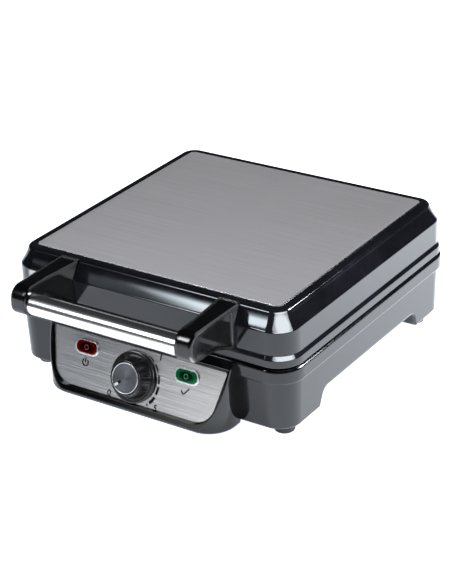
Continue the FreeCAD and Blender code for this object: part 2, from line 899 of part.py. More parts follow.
def make_plate():
    """Cast plate with four waffle pockets, drawn with its rim at Z = 0 and its back downwards."""
    plate = rounded_block(plate_half_x, plate_half_y, plate_corner, -plate_under, 0)
    pocket_x = plate_half_x - plate_border - plate_divider / 2
    pocket_y = plate_half_y - plate_border - plate_divider / 2
    cuts = []
    for side, end in quarters:
        middle_x = side * (plate_divider + pocket_x) / 2
        centre_y = end * (plate_divider + pocket_y) / 2
        low_x = middle_x - pocket_x / 2
        low_y = centre_y - pocket_y / 2
        cuts.append(box(low_x, low_x + pocket_x, low_y, low_y + pocket_y, -peg_drop, beyond_faces))
        cuts += groove_set(centre_y, pocket_y, middle_x, pocket_x, True)
        cuts += groove_set(middle_x, pocket_x, centre_y, pocket_y, False)
    plate = plate.cut(cuts)
    half = ridge_width / 2
    back = -plate_under
    low = back - ridge_height
    ridge_section = [(-half, low, edge_round), (half, low, edge_round), (half, back, 0), (-half, back, 0)]
    ridge = around(ridge_section, heater_half_x, heater_half_y, heater_bend, filled=False)
    bosses = [upright(x, y, -boss_end, back, boss_radius) for x, y in plate_screw_places()]
    tip = -boss_end + screw_bite + hole_clearance
    pilots = [upright(x, y, -screw_seat, tip, screw_radius + fit) for x, y in plate_screw_places()]
    return plate.fuse([ridge] + bosses).cut([heater_tube(heater_radius + fit)] + pilots)


def make_reflector():
    """Thin tray on the plate's bosses, with a low rim and a notch for the sensor's capillary."""
    sheet = rounded_block(reflector_half_x, reflector_half_y, reflector_corner, -reflector_end, -boss_end)
    low = -reflector_end
    high = -boss_end + reflector_rim
    rim_section = [(-reflector_thickness, low, 0), (0, low, 0), (0, high, 0), (-reflector_thickness, high, 0)]
    rim = around(rim_section, reflector_half_x, reflector_half_y, reflector_corner, filled=False)
    screw_hole = screw_radius + hole_clearance
    holes = [upright(x, y, -screw_seat, -plate_under, screw_hole) for x, y in plate_screw_places()]
    for side in (-1, 1):
        x = side * heater_end_half
        holes.append(upright(x, heater_half_y, -wire_level, 0, heater_radius + hole_clearance))
    notch = clip_half_width
    holes.append(box(bulb_x - notch, bulb_x + notch, -body_depth, -boss_y - boss_radius, -boss_end, 0))
    return sheet.fuse(rim).cut(holes).removeSplitter()


def make_insulators():
    """Two ceramic beads on a heater's tails, seated on the reflector."""
    beads = []
    for side in (-1, 1):
        top = Vector(side * heater_end_half, heater_half_y, -reflector_end)
        bead = bar(top - up * insulator_length, top, insulator_radius)
        beads.append(bead.cut(bar(top - up * wire_level, top + up * wire_level, heater_radius + fit)))
    return beads


def make_plate_screws():
    """Four screws from the housing through the reflector into the plate's bosses."""
    screws = []
    for x, y in plate_screw_places():
        seat = Vector(x, y, -screw_seat)
        head = bar(seat - up * screw_head_height, seat, screw_head_radius)
        shank = bar(seat, Vector(x, y, -boss_end + screw_bite), screw_radius)
        screws.append(head.fuse(shank))
    return screws


def make_lid_housing(solid):
    """One-piece upper housing with a seat for the metal plate, screw posts and hinge knuckles."""
    knuckles = []
    bores = []
    for side in (-1, 1):
        low, high = sorted((side * knuckle_start, side * knuckle_end))
        arm_low = lid_bottom + 2 * parting_gap
        knuckles.append(bar(hinge_point(low), hinge_point(high), ear_radius))
        knuckles.append(box(low, high, lid_half_y - wall / 2, hinge_y, arm_low, hinge_z + ear_radius))
        far = hinge_y + heel_length
        foot = hinge_z - heel_height
        heel_section = [(hinge_y, foot, 0), (far, foot, edge_round), (far, hinge_z, 0), (hinge_y, hinge_z, 0)]
        heel = flat(heel_section, lambda a, b: Vector(low, a, b)).extrude(Vector(high - low, 0, 0))
        heel.rotate(hinge_point(0), Vector(1, 0, 0), lid_open)
        knuckles.append(heel)
        hole = stub_radius + bush_wall + fit
        bores.append(bar(hinge_point(low - beyond_faces), hinge_point(high + beyond_faces), hole))
    posts = []
    post_end = upper_rim + reflector_end
    for x, y in plate_screw_places():
        posts.append(upright(x, y, post_end, lid_roof, boss_radius))
        bores.append(upright(x, y, upper_rim + screw_seat, body_height, screw_head_radius + hole_clearance))
        bores.append(upright(x, y, post_end - beyond_faces, body_height, screw_radius + hole_clearance))
    seat_x = lid_plate_half_x + lid_plate_gap
    seat_y = lid_plate_half_y + lid_plate_gap
    bores.append(rounded_block(seat_x, seat_y, lid_plate_corner + lid_plate_gap, lid_plate_seat, body_height))
    bores.append(tube(lid_lead_route, lead_turn, lead_radius + 2 * hole_clearance))
    inside = -lid_half_y + wall + beyond_faces
    screw_hole = small_screw_radius + hole_clearance
    for x, z in handle_screw_places():
        bores.append(lengthwise(x, z, -body_depth / 2, inside, screw_hole))
    opening = plate_opening(lid_bottom - beyond_faces, lid_flange_top + beyond_faces)
    shell = solid.cut([lid_hollow(), opening])
    back_of_wall = box(-body_width, body_width, lid_half_y - wall / 2, body_depth, 0, body_height)
    knuckle = knuckles[0].fuse(knuckles[1:]).common(back_of_wall)
    return shell.fuse([knuckle] + posts).cut(bores).removeSplitter()


def make_lid_plate():
    """Brushed metal sheet in the top of the lid."""
    sheet = rounded_block(lid_plate_half_x, lid_plate_half_y, lid_plate_corner, lid_plate_seat, body_height)
    return sheet.makeFillet(lid_plate_proud / 2, edges_at(sheet, body_height))


def handle_screw_places():
    """Positions, across and up, of the screws that hold the handle arms."""
    across = handle_tube_half + arm_width / 2
    lower_height = handle_screw_tip_under + handle_screw_rise
    heights = (lower_height, lower_height + handle_screw_pitch)
    return [(side * across, height) for side in (-1, 1) for height in heights]


def arm_outline(shrink):
    """Side view of a handle arm, from the lid's top out over the nose and back along its belly."""
    front = handle_y - handle_nose + shrink
    top = lid_rim - shrink
    return [
        (-lid_half_y + lid_corner, top, 0),
        (front, top - arm_top_drop, arm_nose_round - shrink),
        (front, arm_chin_height + shrink - arm_top_drop, arm_chin_round - shrink),
        (-lid_half_y - arm_belly_reach, arm_belly_height + shrink, arm_belly_round + shrink),
        (-lid_half_y + wall, arm_root_height + shrink, 0),
        (-lid_half_y + lid_corner, arm_root_height + shrink, 0),
    ]


def make_arm(side, solid):
    """Handle arm that follows the lid's front, with a dished outer side and a spigot for the tube."""
    width = 2 * arm_outer
    body = flat(arm_outline(0), lambda a, b: Vector(0, a, b)).extrude(Vector(width, 0, 0))
    root = -lid_half_y + lid_corner
    front = handle_y - handle_nose
    shoulder = handle_y + 2 * handle_tube_radius
    plan = [
        (handle_tube_half - arm_root_flare, root, 0),
        (handle_tube_half, shoulder, 0),
        (handle_tube_half, front, 0),
        (arm_outer - edge_round, front, 0),
        (arm_outer, root, 0),
    ]
    body = body.common(flat(plan, lambda a, b: Vector(a, b, 0)).extrude(up * body_height))
    soft = []
    for edge in body.Edges:
        middle = edge.valueAt((edge.FirstParameter + edge.LastParameter) / 2)
        if middle.x > arm_outer - arm_width / 2 and middle.y < -lid_half_y - wall:
            soft.append(edge)
    body = body.makeFillet(arm_round, soft)
    dish_start = arm_outer - arm_dish_depth
    dish = flat(arm_outline(arm_dish_margin), lambda a, b: Vector(dish_start, a, b))
    dish = dish.extrude(Vector(width, 0, 0))
    dish = dish.common(box(0, width, -body_depth, -lid_half_y - arm_dish_margin, 0, body_height))
    spigot_end = Vector(handle_tube_half - handle_spigot, handle_y, handle_height)
    spigot_root = Vector(handle_tube_half + arm_width / 2, handle_y, handle_height)
    spigot = bar(spigot_end, spigot_root, handle_tube_radius - handle_tube_wall - fit)
    tip = -lid_half_y - small_screw_length
    pilots = [lengthwise(x, z, tip, root, small_screw_radius + fit) for x, z in handle_screw_places()]
    arm = body.cut([dish, solid]).fuse(spigot).cut(pilots).removeSplitter()
    return arm if side > 0 else arm.mirror(origin, Vector(1, 0, 0))


def make_handle_tube():
    """Polished tube between the handle arms."""
    start = Vector(-handle_tube_half, handle_y, handle_height)
    end = Vector(handle_tube_half, handle_y, handle_height)
    return bar(start, end, handle_tube_radius).cut(bar(start, end, handle_tube_radius - handle_tube_wall))


def cross_screws(places, seat_y):
    """Small screws that point to the front, with their heads against the inside of a front wall."""
    screws = []
    for x, z in places:
        seat = Vector(x, seat_y, z)
        head = bar(seat, seat + Vector(0, small_screw_head_height, 0), small_screw_head_radius)
        shank = bar(seat, seat - Vector(0, wall + small_screw_length - hole_clearance, 0), small_screw_radius)
        screws.append(head.fuse(shank))
    return screws


def make_hinge_stubs():
    """Four hinge stubs: hollow inner ones, which the lid's lead can pass, and solid outer ones."""
    stubs = []
    for side in (-1, 1):
        start = hinge_point(side * inner_stub_start)
        end = hinge_point(side * inner_stub_end)
        stubs.append(bar(start, end, stub_radius).cut(bar(start, end, stub_bore_radius)))
        stubs.append(bar(hinge_point(side * outer_stub_start), hinge_point(side * ear_end), stub_radius))
    return stubs


def make_hinge_bushes():
    """Four sleeves in the lid's knuckles that run on the stubs."""
    bushes = []
    for side in (-1, 1):
        for start, end in ((knuckle_start, inner_stub_end), (outer_stub_start, knuckle_end)):
            low = hinge_point(side * start)
            high = hinge_point(side * end)
            bush = bar(low, high, stub_radius + bush_wall)
            bushes.append(bush.cut(bar(low, high, stub_radius + running_clearance)))
    return bushes


def strap(middle, radius, face_height, along_y):
    """Saddle clip that holds a round piece against a face above it."""
    half_x = clip_half_width if along_y else clip_half_length
    half_y = clip_half_length if along_y else clip_half_width
    low = middle.z - radius - edge_round
    block = box(middle.x - half_x, middle.x + half_x, middle.y - half_y, middle.y + half_y, low, face_height)
    run = Vector(0, body_depth, 0) if along_y else Vector(body_width, 0, 0)
    return block.cut(bar(middle - run, middle + run, radius + fit))


plate_back = lower_rim - plate_under
bulb_centre = Vector(bulb_x, bulb_front + bulb_length / 2, plate_back - bulb_radius)
reflector_under = lower_rim - reflector_end
fuse_centre = Vector(-heater_end_half, fuse_y, wire_height)


def thermostat_terminal(across):
    """Point just behind the thermostat's upper back edge."""
    behind = -box_wall_back - thermostat_depth - wire_end_gap - wire_radius * panel_sine
    return panel_point(across, -knob_drop + thermostat_half_height / 2, behind)


def make_sensor():
    """Sensor bulb under the lower plate with its capillary to the thermostat."""
    start = Vector(bulb_x, bulb_front + bulb_length, bulb_centre.z)
    bulb = bar(start, Vector(bulb_x, bulb_front, bulb_centre.z), bulb_radius)
    low = lower_rim - (boss_end + plate_under + heater_sink + heater_radius) / 2
    end = thermostat_terminal(thermostat_half_width / 2)
    route = [
        Vector(bulb_x, bulb_front + wall, bulb_centre.z),
        Vector(bulb_x, bulb_front - capillary_bend, bulb_centre.z),
        Vector(bulb_x, bulb_front - 2 * capillary_bend, low),
        Vector(bulb_x, -plate_half_y, low),
        Vector(end.x, end.y + 2 * capillary_bend, end.z),
        end,
    ]
    return bulb.fuse(tube(route, capillary_bend / 2, capillary_radius))


def make_fuse():
    """Thermal fuse in the heater's supply, under the lower reflector."""
    half = Vector(0, fuse_length / 2, 0)
    return bar(fuse_centre - half, fuse_centre + half, fuse_radius)


def make_terminal_block():
    """Three-pole terminal block on the base floor, with ports to the front and screws on top."""
    x_low = block_x - block_half_width
    x_high = block_x + block_half_width
    block = box(x_low, x_high, block_y, block_y + block_depth, floor_top, floor_top + block_height)
    holes = []
    for pole in (-1, 0, 1):
        x = block_x + pole * block_pole_pitch
        middle = Vector(x, block_y + block_depth / 2, floor_top + block_height / 2)
        holes.append(bar(middle, middle + up * block_height, block_screw_radius))
    return block.cut(holes)


def make_gland():
    """Flanged bush through the rear wall where the supply cord enters."""
    wall_out = base_half_y
    inside = Vector(gland_x, rear_inside - gland_inside, gland_height)
    outside = Vector(gland_x, wall_out + gland_nose, gland_height)
    flange_end = Vector(gland_x, wall_out + gland_flange_thickness, gland_height)
    sleeve = bar(inside, outside, gland_radius)
    sleeve = sleeve.fuse(bar(Vector(gland_x, wall_out, gland_height), flange_end, gland_flange_radius))
    return sleeve.cut(bar(inside, outside, gland_bore_radius))


def make_base_wiring():
    """Supply, switched and neutral wires of the lower heater, and the lamps' wires."""
    front = block_y - wire_end_gap
    live_x = block_x - block_pole_pitch
    neutral_x = block_x + block_pole_pitch
    turn_y = -plate_half_y
    pin_gap = heater_radius + wire_end_gap
    wires = []
    live_end = thermostat_terminal(-thermostat_live_offset)
    live = [
        Vector(live_x, front, wire_height),
        Vector(live_x, turn_y + wire_bend, wire_height),
        Vector(live_end.x, turn_y, wire_height),
        live_end,
    ]
    wires.append(tube(live, wire_bend / 2, wire_radius))
    switched_end = thermostat_terminal(0)
    switched = [
        fuse_centre - Vector(0, fuse_length / 2 + wire_end_gap, 0),
        Vector(fuse_centre.x, turn_y + 2 * wire_bend, wire_height),
        Vector(switched_end.x, turn_y + wire_bend, wire_height),
        switched_end,
    ]
    wires.append(tube(switched, wire_bend / 2, wire_radius))
    pin_side = Vector(-heater_end_half, heater_half_y - pin_gap, wire_height)
    wires.append(bar(fuse_centre + Vector(0, fuse_length / 2 + wire_end_gap, 0), pin_side, wire_radius))
    neutral_y = (heater_half_y + block_y) / 2
    neutral = [
        Vector(neutral_x, front, wire_height),
        Vector(neutral_x, neutral_y, wire_height),
        Vector(heater_end_half, neutral_y, wire_height),
        Vector(heater_end_half, heater_half_y + pin_gap, wire_height),
    ]
    wires.append(tube(neutral, wire_bend, wire_radius))
    level = -lens_depth - lamp_holder_length / 2
    along = -lamp_drop - lens_half_height / 2
    for side in (-1, 1):
        start = panel_point(side * (lamp_offset - lamp_holder_half - wire_end_gap), along, level)
        end = panel_point(side * (thermostat_half_width + wire_end_gap), along, level)
        wires.append(bar(start, end, wire_radius))
    return wires


def make_lid_wiring():
    """Two wires from the lid's lead to the upper heater's tails."""
    start = lid_lead_route[-1]
    begin = start.x - wire_end_gap
    pin_gap = heater_radius + wire_end_gap
    wires = []
    for side, shift in ((-1, 1), (1, -1)):
        run_y = start.y + shift * wire_spread
        x = side * heater_end_half
        route = [
            Vector(begin, run_y, lead_lid_height),
            Vector(x, run_y, lead_lid_height),
            Vector(x, heater_half_y + 2 * pin_gap, upper_wire_height),
            Vector(x, heater_half_y + pin_gap, upper_wire_height),
        ]
        wires.append(tube(route, wire_bend / 2, wire_radius))
    return wires


def save(name, shapes):
    """Write one piece, or a group of like pieces, with the origin under the middle of the whole object."""
    pieces = shapes if isinstance(shapes, list) else [shapes]
    solids = [solid for piece in pieces for solid in piece.Solids]
    result = solids[0] if len(solids) == 1 else Part.makeCompound(solids)
    result.translated(Vector(0, -middle_y, 0)).exportStep(os.path.join("parts", name + ".step"))


def lower(shape):
    """Put a plate's piece in the base."""
    return shape.translated(up * lower_rim)


def upper(shape):
    """Turn a plate's piece over and put it in the lid."""
    return shape.mirror(origin, up).translated(up * upper_rim)


def main():
    """Make and save every piece."""
    os.makedirs("parts", exist_ok=True)
    base_outside = base_solid()
    lid_outside = lid_solid()
    save("base_housing", make_base_housing(base_outside))
    save("rubber_feet", make_feet())
    save("control_box", make_control_box(base_outside))
    save("control_box_screws", cross_screws(box_screw_places(), -base_half_y + base_draft + wall))
    save("control_fascia", make_fascia())
    save("power_lens", make_lens(-1))
    save("ready_lens", make_lens(1))
    save("lamp_bezels", make_bezels())
    save("neon_lamps", make_neon_lamps())
    save("lamp_holders", make_lamp_holders())
    save("thermostat_body", make_thermostat_body())
    save("thermostat_nut", make_thermostat_nut())
    save("thermostat_shaft", make_thermostat_shaft())
    save("knob", make_knob())
    save("knob_cap", make_knob_cap())
    plate = make_plate()
    heater = heater_tube(heater_radius)
    reflector = make_reflector()
    insulators = make_insulators()
    screws = make_plate_screws()
    for place, put in (("lower", lower), ("upper", upper)):
        save(place + "_waffle_plate", put(plate))
        save(place + "_heater", put(heater))
        save(place + "_reflector", put(reflector))
        save(place + "_insulators", [put(piece) for piece in insulators])
        save(place + "_plate_screws", [put(piece) for piece in screws])
    save("sensor_bulb", make_sensor())
    save("sensor_clip", strap(bulb_centre, bulb_radius, plate_back, True))
    save("thermal_fuse", make_fuse())
    save("fuse_clip", strap(fuse_centre, fuse_radius, reflector_under, True))
    save("terminal_block", make_terminal_block())
    save("cord_gland", make_gland())
    save("base_wiring", make_base_wiring())
    save("base_lead", tube(base_lead_route, lead_bend, lead_radius))
    save("hinge_stubs", make_hinge_stubs())
    save("lid_housing", make_lid_housing(lid_outside))
    save("lid_plate", make_lid_plate())
    save("handle_arm_left", make_arm(-1, lid_outside))
    save("handle_arm_right", make_arm(1, lid_outside))
    save("handle_tube", make_handle_tube())
    save("handle_screws", cross_screws(handle_screw_places(), -lid_half_y + wall))
    save("hinge_bushes", make_hinge_bushes())
    save("lid_lead", tube(lid_lead_route, lead_turn, lead_radius))
    save("lid_wiring", make_lid_wiring())


main()
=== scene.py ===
"""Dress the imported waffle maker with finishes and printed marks, and light it in a plain studio.

All lengths are in metres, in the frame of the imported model: +Z is up and the front faces -Y.
"""

import json
import logging
import math
from dataclasses import dataclass, field, replace
from enum import Enum
from typing import ClassVar

import bmesh
import bpy
from mathutils import Matrix, Vector


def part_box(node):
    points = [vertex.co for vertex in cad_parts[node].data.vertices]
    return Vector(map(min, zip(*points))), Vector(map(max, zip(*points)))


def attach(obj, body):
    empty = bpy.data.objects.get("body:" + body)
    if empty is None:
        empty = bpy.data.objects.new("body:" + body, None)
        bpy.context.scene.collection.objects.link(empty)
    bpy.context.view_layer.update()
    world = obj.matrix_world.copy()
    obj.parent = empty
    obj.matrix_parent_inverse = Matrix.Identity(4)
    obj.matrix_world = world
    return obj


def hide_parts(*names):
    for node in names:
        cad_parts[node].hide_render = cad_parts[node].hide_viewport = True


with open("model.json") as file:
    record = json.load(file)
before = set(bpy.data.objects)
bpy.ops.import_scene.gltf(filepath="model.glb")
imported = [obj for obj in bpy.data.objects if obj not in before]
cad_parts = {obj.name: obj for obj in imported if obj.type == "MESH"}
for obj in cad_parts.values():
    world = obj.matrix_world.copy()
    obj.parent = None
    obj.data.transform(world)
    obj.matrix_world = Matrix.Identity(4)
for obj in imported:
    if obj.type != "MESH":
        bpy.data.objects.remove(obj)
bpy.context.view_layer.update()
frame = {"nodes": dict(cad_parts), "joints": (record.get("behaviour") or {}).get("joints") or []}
MERGE_DISTANCE = 1e-6
SHARP_ANGLE = math.radians(28)
FULL_CIRCLE = 360.0
GRAIN_MAP = "grain"
LID = ("lid_housing",)
SHEET_NAME = "lid_brushed_sheet"
SHEET = (SHEET_NAME,)
ARMS = ("handle_arm_left", "handle_arm_right")
KNOB = ("knob",)
ORIGIN = Vector((0.0, 0.0, 0.0)).freeze()
ACROSS = Vector((1.0, 0.0, 0.0)).freeze()
REARWARD = Vector((0.0, 1.0, 0.0)).freeze()
UPWARD = Vector((0.0, 0.0, 1.0)).freeze()
LOG = logging.getLogger("waffle_maker")

Colour = tuple[float, float, float]
Point = tuple[float, float, float]
Span = tuple[float, float]
Shape = bmesh.types.BMesh
Socket = bpy.types.NodeSocket
WHITE: Colour = (1.0, 1.0, 1.0)
WHOLE: Span = (0.0, 1.0)


class Graph:
    """A shader node tree that is being built."""

    # Places of a mix node's sockets that hold colours.
    MIX_FIRST = 6
    MIX_SECOND = 7
    MIX_RESULT = 2

    def __init__(self, tree: bpy.types.NodeTree) -> None:
        """Start from an emptied tree."""
        tree.nodes.clear()
        self.tree = tree

    def add(self, kind: str, values: dict | None = None, **settings: object) -> bpy.types.Node:
        """Add a node and set or link its inputs.

        Args:
            kind: Class name of the node.
            values: Constants, or sockets to link from, by input name or place.
            settings: Properties of the node itself.

        Returns:
            The new node.
        """
        node = self.tree.nodes.new(kind)
        for key, value in settings.items():
            setattr(node, key, value)
        for key, value in (values or {}).items():
            if isinstance(value, Socket):
                self.tree.links.new(value, node.inputs[key])
            else:
                node.inputs[key].default_value = value
        return node

    def math(self, operation: str, first: float | Socket, second: float | Socket) -> Socket:
        """Combine two numbers and return the result's socket."""
        return self.add("ShaderNodeMath", {0: first, 1: second}, operation=operation).outputs[0]

    def vector(self, operation: str, first: Socket, second: Point) -> Socket:
        """Combine two vectors and return the result's socket."""
        values = {0: first, 1: second}
        return self.add("ShaderNodeVectorMath", values, operation=operation).outputs[0]

    def length(self, vector: Socket) -> Socket:
        """Measure a vector and return the length's socket."""
        return self.add("ShaderNodeVectorMath", {0: vector}, operation="LENGTH").outputs["Value"]

    def spread(self, value: Socket, source: Span, target: Span = WHOLE) -> Socket:
        """Map a number from one range to another.

        Args:
            value: The socket to read.
            source: Range of the number read.
            target: Range of the number given out.

        Returns:
            The mapped number's socket.
        """
        values = {"Value": value, "From Min": source[0], "From Max": source[1],
                  "To Min": target[0], "To Max": target[1]}
        return self.add("ShaderNodeMapRange", values).outputs[0]

    def noise(self, vector: Socket, scale: Socket, octaves: float, rough: float = 0.5) -> Socket:
        """Add a noise texture.

        Args:
            vector: Coordinates.
            scale: Features per metre.
            octaves: How many finer layers it has.
            rough: Share of the finer layers.

        Returns:
            The noise's socket.
        """
        values = {"Vector": vector, "Scale": scale, "Detail": octaves, "Roughness": rough}
        return self.add("ShaderNodeTexNoise", values).outputs[0]

    def blend(self, share: Socket, first: Colour, second: Colour) -> Socket:
        """Blend two colours by a share and return the result's socket."""
        values = {0: share, self.MIX_FIRST: (*first, 1.0), self.MIX_SECOND: (*second, 1.0)}
        return self.add("ShaderNodeMix", values, data_type="RGBA").outputs[self.MIX_RESULT]

    def surface(self, values: dict) -> None:
        """Add a surface's shader, with its inputs' values, and show it."""
        shader = self.add("ShaderNodeBsdfPrincipled", values)
        self.add("ShaderNodeOutputMaterial", {"Surface": shader.outputs[0]})


class Effect(Enum):
    """Surface effects that several finishes share."""

    MOULDED = "moulded_skin"
    BRUSHED = "brushed_lines"
    SPECKLED = "speckled_coat"
    PAINTED_RIM_GLINT = "lens_painted_rim_glint"


class EffectShop:
    """Makes the node group of each surface effect once."""

    SOCKETS = (
        ("Vector", "INPUT", "Vector"),
        ("Size", "INPUT", "Float"),
        ("Mask", "OUTPUT", "Float"),
        ("Height", "OUTPUT", "Float"),
    )
    CLOUD_OCTAVES = 3.0
    CLOUD_SPAN = (0.35, 0.65)
    RIPPLE_FINENESS = 6.0
    RIPPLE_OCTAVES = 1.0
    LINE_STRETCH = (0.009, 1.0, 1.0)
    LINE_OCTAVES = 5.0
    LINE_ROUGHNESS = 0.7
    LINE_SPAN = (0.3, 0.7)
    SPECK_SPAN = (0.16, 0.3)
    GRAIN_FINENESS = 3.0
    GRAIN_OCTAVES = 2.0
    # Spans and streaks of the painted highlight on a lens's rim.
    RIM_SPAN = (0.5, 1.05)
    STREAK_OCTAVES = 2.0
    STREAK_SPAN = (0.36, 0.6)
    STREAK_LIGHT = (0.25, 1.0)

    def __init__(self) -> None:
        """Start with no effect made."""
        self.made: dict[Effect, bpy.types.NodeTree] = {}

    def group(self, effect: Effect) -> bpy.types.NodeTree:
        """Give the node group of an effect.

        Args:
            effect: Which effect.

        Returns:
            A group with the inputs Vector and Size and the outputs Mask and Height.
        """
        if effect not in self.made:
            tree = bpy.data.node_groups.new(effect.value, "ShaderNodeTree")
            for name, way, kind in self.SOCKETS:
                tree.interface.new_socket(name, in_out=way, socket_type=f"NodeSocket{kind}")
            graph = Graph(tree)
            given = graph.add("NodeGroupInput")
            scale = graph.math("DIVIDE", 1.0, given.outputs["Size"])
            makers = {
                Effect.MOULDED: self.moulded,
                Effect.BRUSHED: self.brushed,
                Effect.SPECKLED: self.speckled,
                Effect.PAINTED_RIM_GLINT: self.lens_rim_glint,
            }
            mask, height = makers[effect](graph, given.outputs["Vector"], scale)
            graph.add("NodeGroupOutput", {"Mask": mask, "Height": height})
            self.made[effect] = tree
        return self.made[effect]

    def moulded(self, graph: Graph, vector: Socket, scale: Socket) -> tuple[Socket, Socket]:
        """Make a soft cloudy mask and a fine ripple, as on a moulded skin.

        Args:
            graph: Tree to build in.
            vector: Coordinates.
            scale: Features per metre.

        Returns:
            The mask's and the height's sockets.
        """
        clouds = graph.noise(vector, scale, self.CLOUD_OCTAVES)
        finer = graph.math("MULTIPLY", scale, self.RIPPLE_FINENESS)
        ripple = graph.noise(vector, finer, self.RIPPLE_OCTAVES)
        return graph.spread(clouds, self.CLOUD_SPAN), ripple

    def brushed(self, graph: Graph, vector: Socket, scale: Socket) -> tuple[Socket, Socket]:
        """Make fine lines along the first coordinate, as brushing leaves them.

        Args:
            graph: Tree to build in.
            vector: Coordinates, with the lines along the first.
            scale: Lines per metre.

        Returns:
            The mask's and the height's sockets.
        """
        drawn = graph.vector("MULTIPLY", vector, self.LINE_STRETCH)
        lines = graph.noise(drawn, scale, self.LINE_OCTAVES, self.LINE_ROUGHNESS)
        return graph.spread(lines, self.LINE_SPAN), lines

    def speckled(self, graph: Graph, vector: Socket, scale: Socket) -> tuple[Socket, Socket]:
        """Make scattered pale specks in a grainy coat.

        Args:
            graph: Tree to build in.
            vector: Coordinates.
            scale: Specks per metre.

        Returns:
            The mask's and the height's sockets.
        """
        cells = graph.add("ShaderNodeTexVoronoi", {"Vector": vector, "Scale": scale})
        specks = graph.spread(cells.outputs["Distance"], self.SPECK_SPAN, (1.0, 0.0))
        finer = graph.math("MULTIPLY", scale, self.GRAIN_FINENESS)
        return specks, graph.noise(vector, finer, self.GRAIN_OCTAVES)

    def lens_rim_glint(self, graph: Graph, vector: Socket, scale: Socket) -> tuple[Socket, Socket]:
        """Make a dark middle and a painted highlight in streaks on the rim, for a lens over a
        lamp.

        Args:
            graph: Tree to build in.
            vector: Coordinates that run from minus one to one over the lens.
            scale: Streaks over half the lens.

        Returns:
            The mask's and the height's sockets.
        """
        rim = graph.spread(graph.length(vector), self.RIM_SPAN)
        streaks = graph.noise(vector, scale, self.STREAK_OCTAVES)
        lit = graph.spread(streaks, self.STREAK_SPAN, self.STREAK_LIGHT)
        return graph.math("MULTIPLY", rim, lit), streaks


EFFECTS = EffectShop()


@dataclass(frozen=True)
class Finish:
    """One surface finish, made as a material when it is first used.

    Its colour runs from deep to pale, and its roughness over its span, as the effect's mask does.
    Size is the effect's grain, bump the depth of its relief and edge the rounding of sharp edges.
    """

    name: str
    slot: str
    deep: Colour
    pale: Colour
    effect: Effect = Effect.MOULDED
    size: float = 0.004
    roughness: Span = (0.2, 0.3)
    bump: float = 0.0
    metallic: float = 0.0
    specular: float = 0.5
    anisotropy: float = 0.0
    transmission: float = 0.0
    edge: float = 0.0
    on_map: bool = False
    CROSSWISE: ClassVar[float] = 0.25
    EDGE_SAMPLES: ClassVar[int] = 8

    def material(self) -> bpy.types.Material:
        """Give the finish's material, made on first use."""
        return bpy.data.materials.get(self.name) or self.build()

    def build(self) -> bpy.types.Material:
        """Make the material.

        Returns:
            A material whose colour, roughness and normal follow the finish's effect.
        """
        material = bpy.data.materials.new(self.name)
        material.use_nodes = True
        graph = Graph(material.node_tree)
        if self.on_map:
            vector = graph.add("ShaderNodeUVMap", uv_map=GRAIN_MAP).outputs[0]
        else:
            vector = graph.add("ShaderNodeTexCoord").outputs["Object"]
        effect = graph.add("ShaderNodeGroup", {"Vector": vector, "Size": self.size},
                           node_tree=EFFECTS.group(self.effect))
        mask = effect.outputs["Mask"]
        values = {
            "Base Color": graph.blend(mask, self.deep, self.pale),
            "Roughness": graph.spread(mask, WHOLE, self.roughness),
            "Metallic": self.metallic,
            "Specular IOR Level": self.specular,
            "Transmission Weight": self.transmission,
        }
        if self.bump or self.edge:
            values["Normal"] = self.normal(graph, effect.outputs["Height"])
        if self.anisotropy:
            values["Anisotropic"] = self.anisotropy
            values["Anisotropic Rotation"] = self.CROSSWISE
            values["Tangent"] = graph.add("ShaderNodeTangent", direction_type="UV_MAP",
                                          uv_map=GRAIN_MAP).outputs[0]
        graph.surface(values)
        return material

    def normal(self, graph: Graph, height: Socket) -> Socket:
        """Add the finish's relief and softened edges.

        Args:
            graph: Tree to build in.
            height: The effect's height.

        Returns:
            The normal's socket.
        """
        relief = {"Height": height, "Distance": self.bump, "Strength": 1.0}
        if self.edge:
            relief["Normal"] = graph.add("ShaderNodeBevel", {"Radius": self.edge},
                                         samples=self.EDGE_SAMPLES).outputs[0]
            if not self.bump:
                return relief["Normal"]
        return graph.add("ShaderNodeBump", relief).outputs[0]


HOUSING_BLACK = Finish(
    "housing_gloss_black", "housing_black", (0.0015, 0.0015, 0.002), (0.003, 0.003, 0.004),
    size=0.03, roughness=(0.06, 0.1), edge=0.0008)
BASE_BLACK = replace(HOUSING_BLACK, name="base_gloss_black", edge=0.0025)
HANDLE_BLACK = Finish(
    "handle_gloss_black", "handle_black", (0.0015, 0.0015, 0.0015), (0.003, 0.003, 0.0035),
    size=0.012, roughness=(0.1, 0.16), edge=0.0045)
LID_STEEL = Finish(
    "lid_brushed_steel", "lid_steel", (0.42, 0.415, 0.435), (0.56, 0.552, 0.578),
    effect=Effect.BRUSHED, size=0.0012, roughness=(0.34, 0.44), metallic=1.0, anisotropy=0.6,
    bump=0.00001, on_map=True)
FASCIA_STEEL = replace(
    LID_STEEL, name="fascia_brushed_steel", slot="fascia_steel", deep=(0.42, 0.42, 0.415),
    pale=(0.7, 0.695, 0.69), size=0.0008, roughness=(0.23, 0.28))
TUBE_CHROME = Finish(
    "tube_polished", "tube_chrome", (0.74, 0.74, 0.73), (0.88, 0.88, 0.87),
    effect=Effect.BRUSHED, size=0.0015, roughness=(0.17, 0.23), metallic=1.0)
BEZEL_CHROME = Finish(
    "bezel_polished", "bezel_chrome", (0.8, 0.8, 0.8), (0.9, 0.9, 0.9),
    size=0.002, roughness=(0.24, 0.34), metallic=1.0)
KNOB_BLACK = Finish(
    "knob_gloss_black", "knob_black", (0.004, 0.004, 0.004), (0.009, 0.009, 0.01),
    size=0.006, roughness=(0.12, 0.2), edge=0.0004)
KNOB_METAL = Finish(
    "knob_spun_metal", "knob_metal", (0.09, 0.093, 0.1), (0.17, 0.175, 0.185),
    effect=Effect.BRUSHED, size=0.0006, roughness=(0.36, 0.5), metallic=1.0, anisotropy=0.5,
    on_map=True)
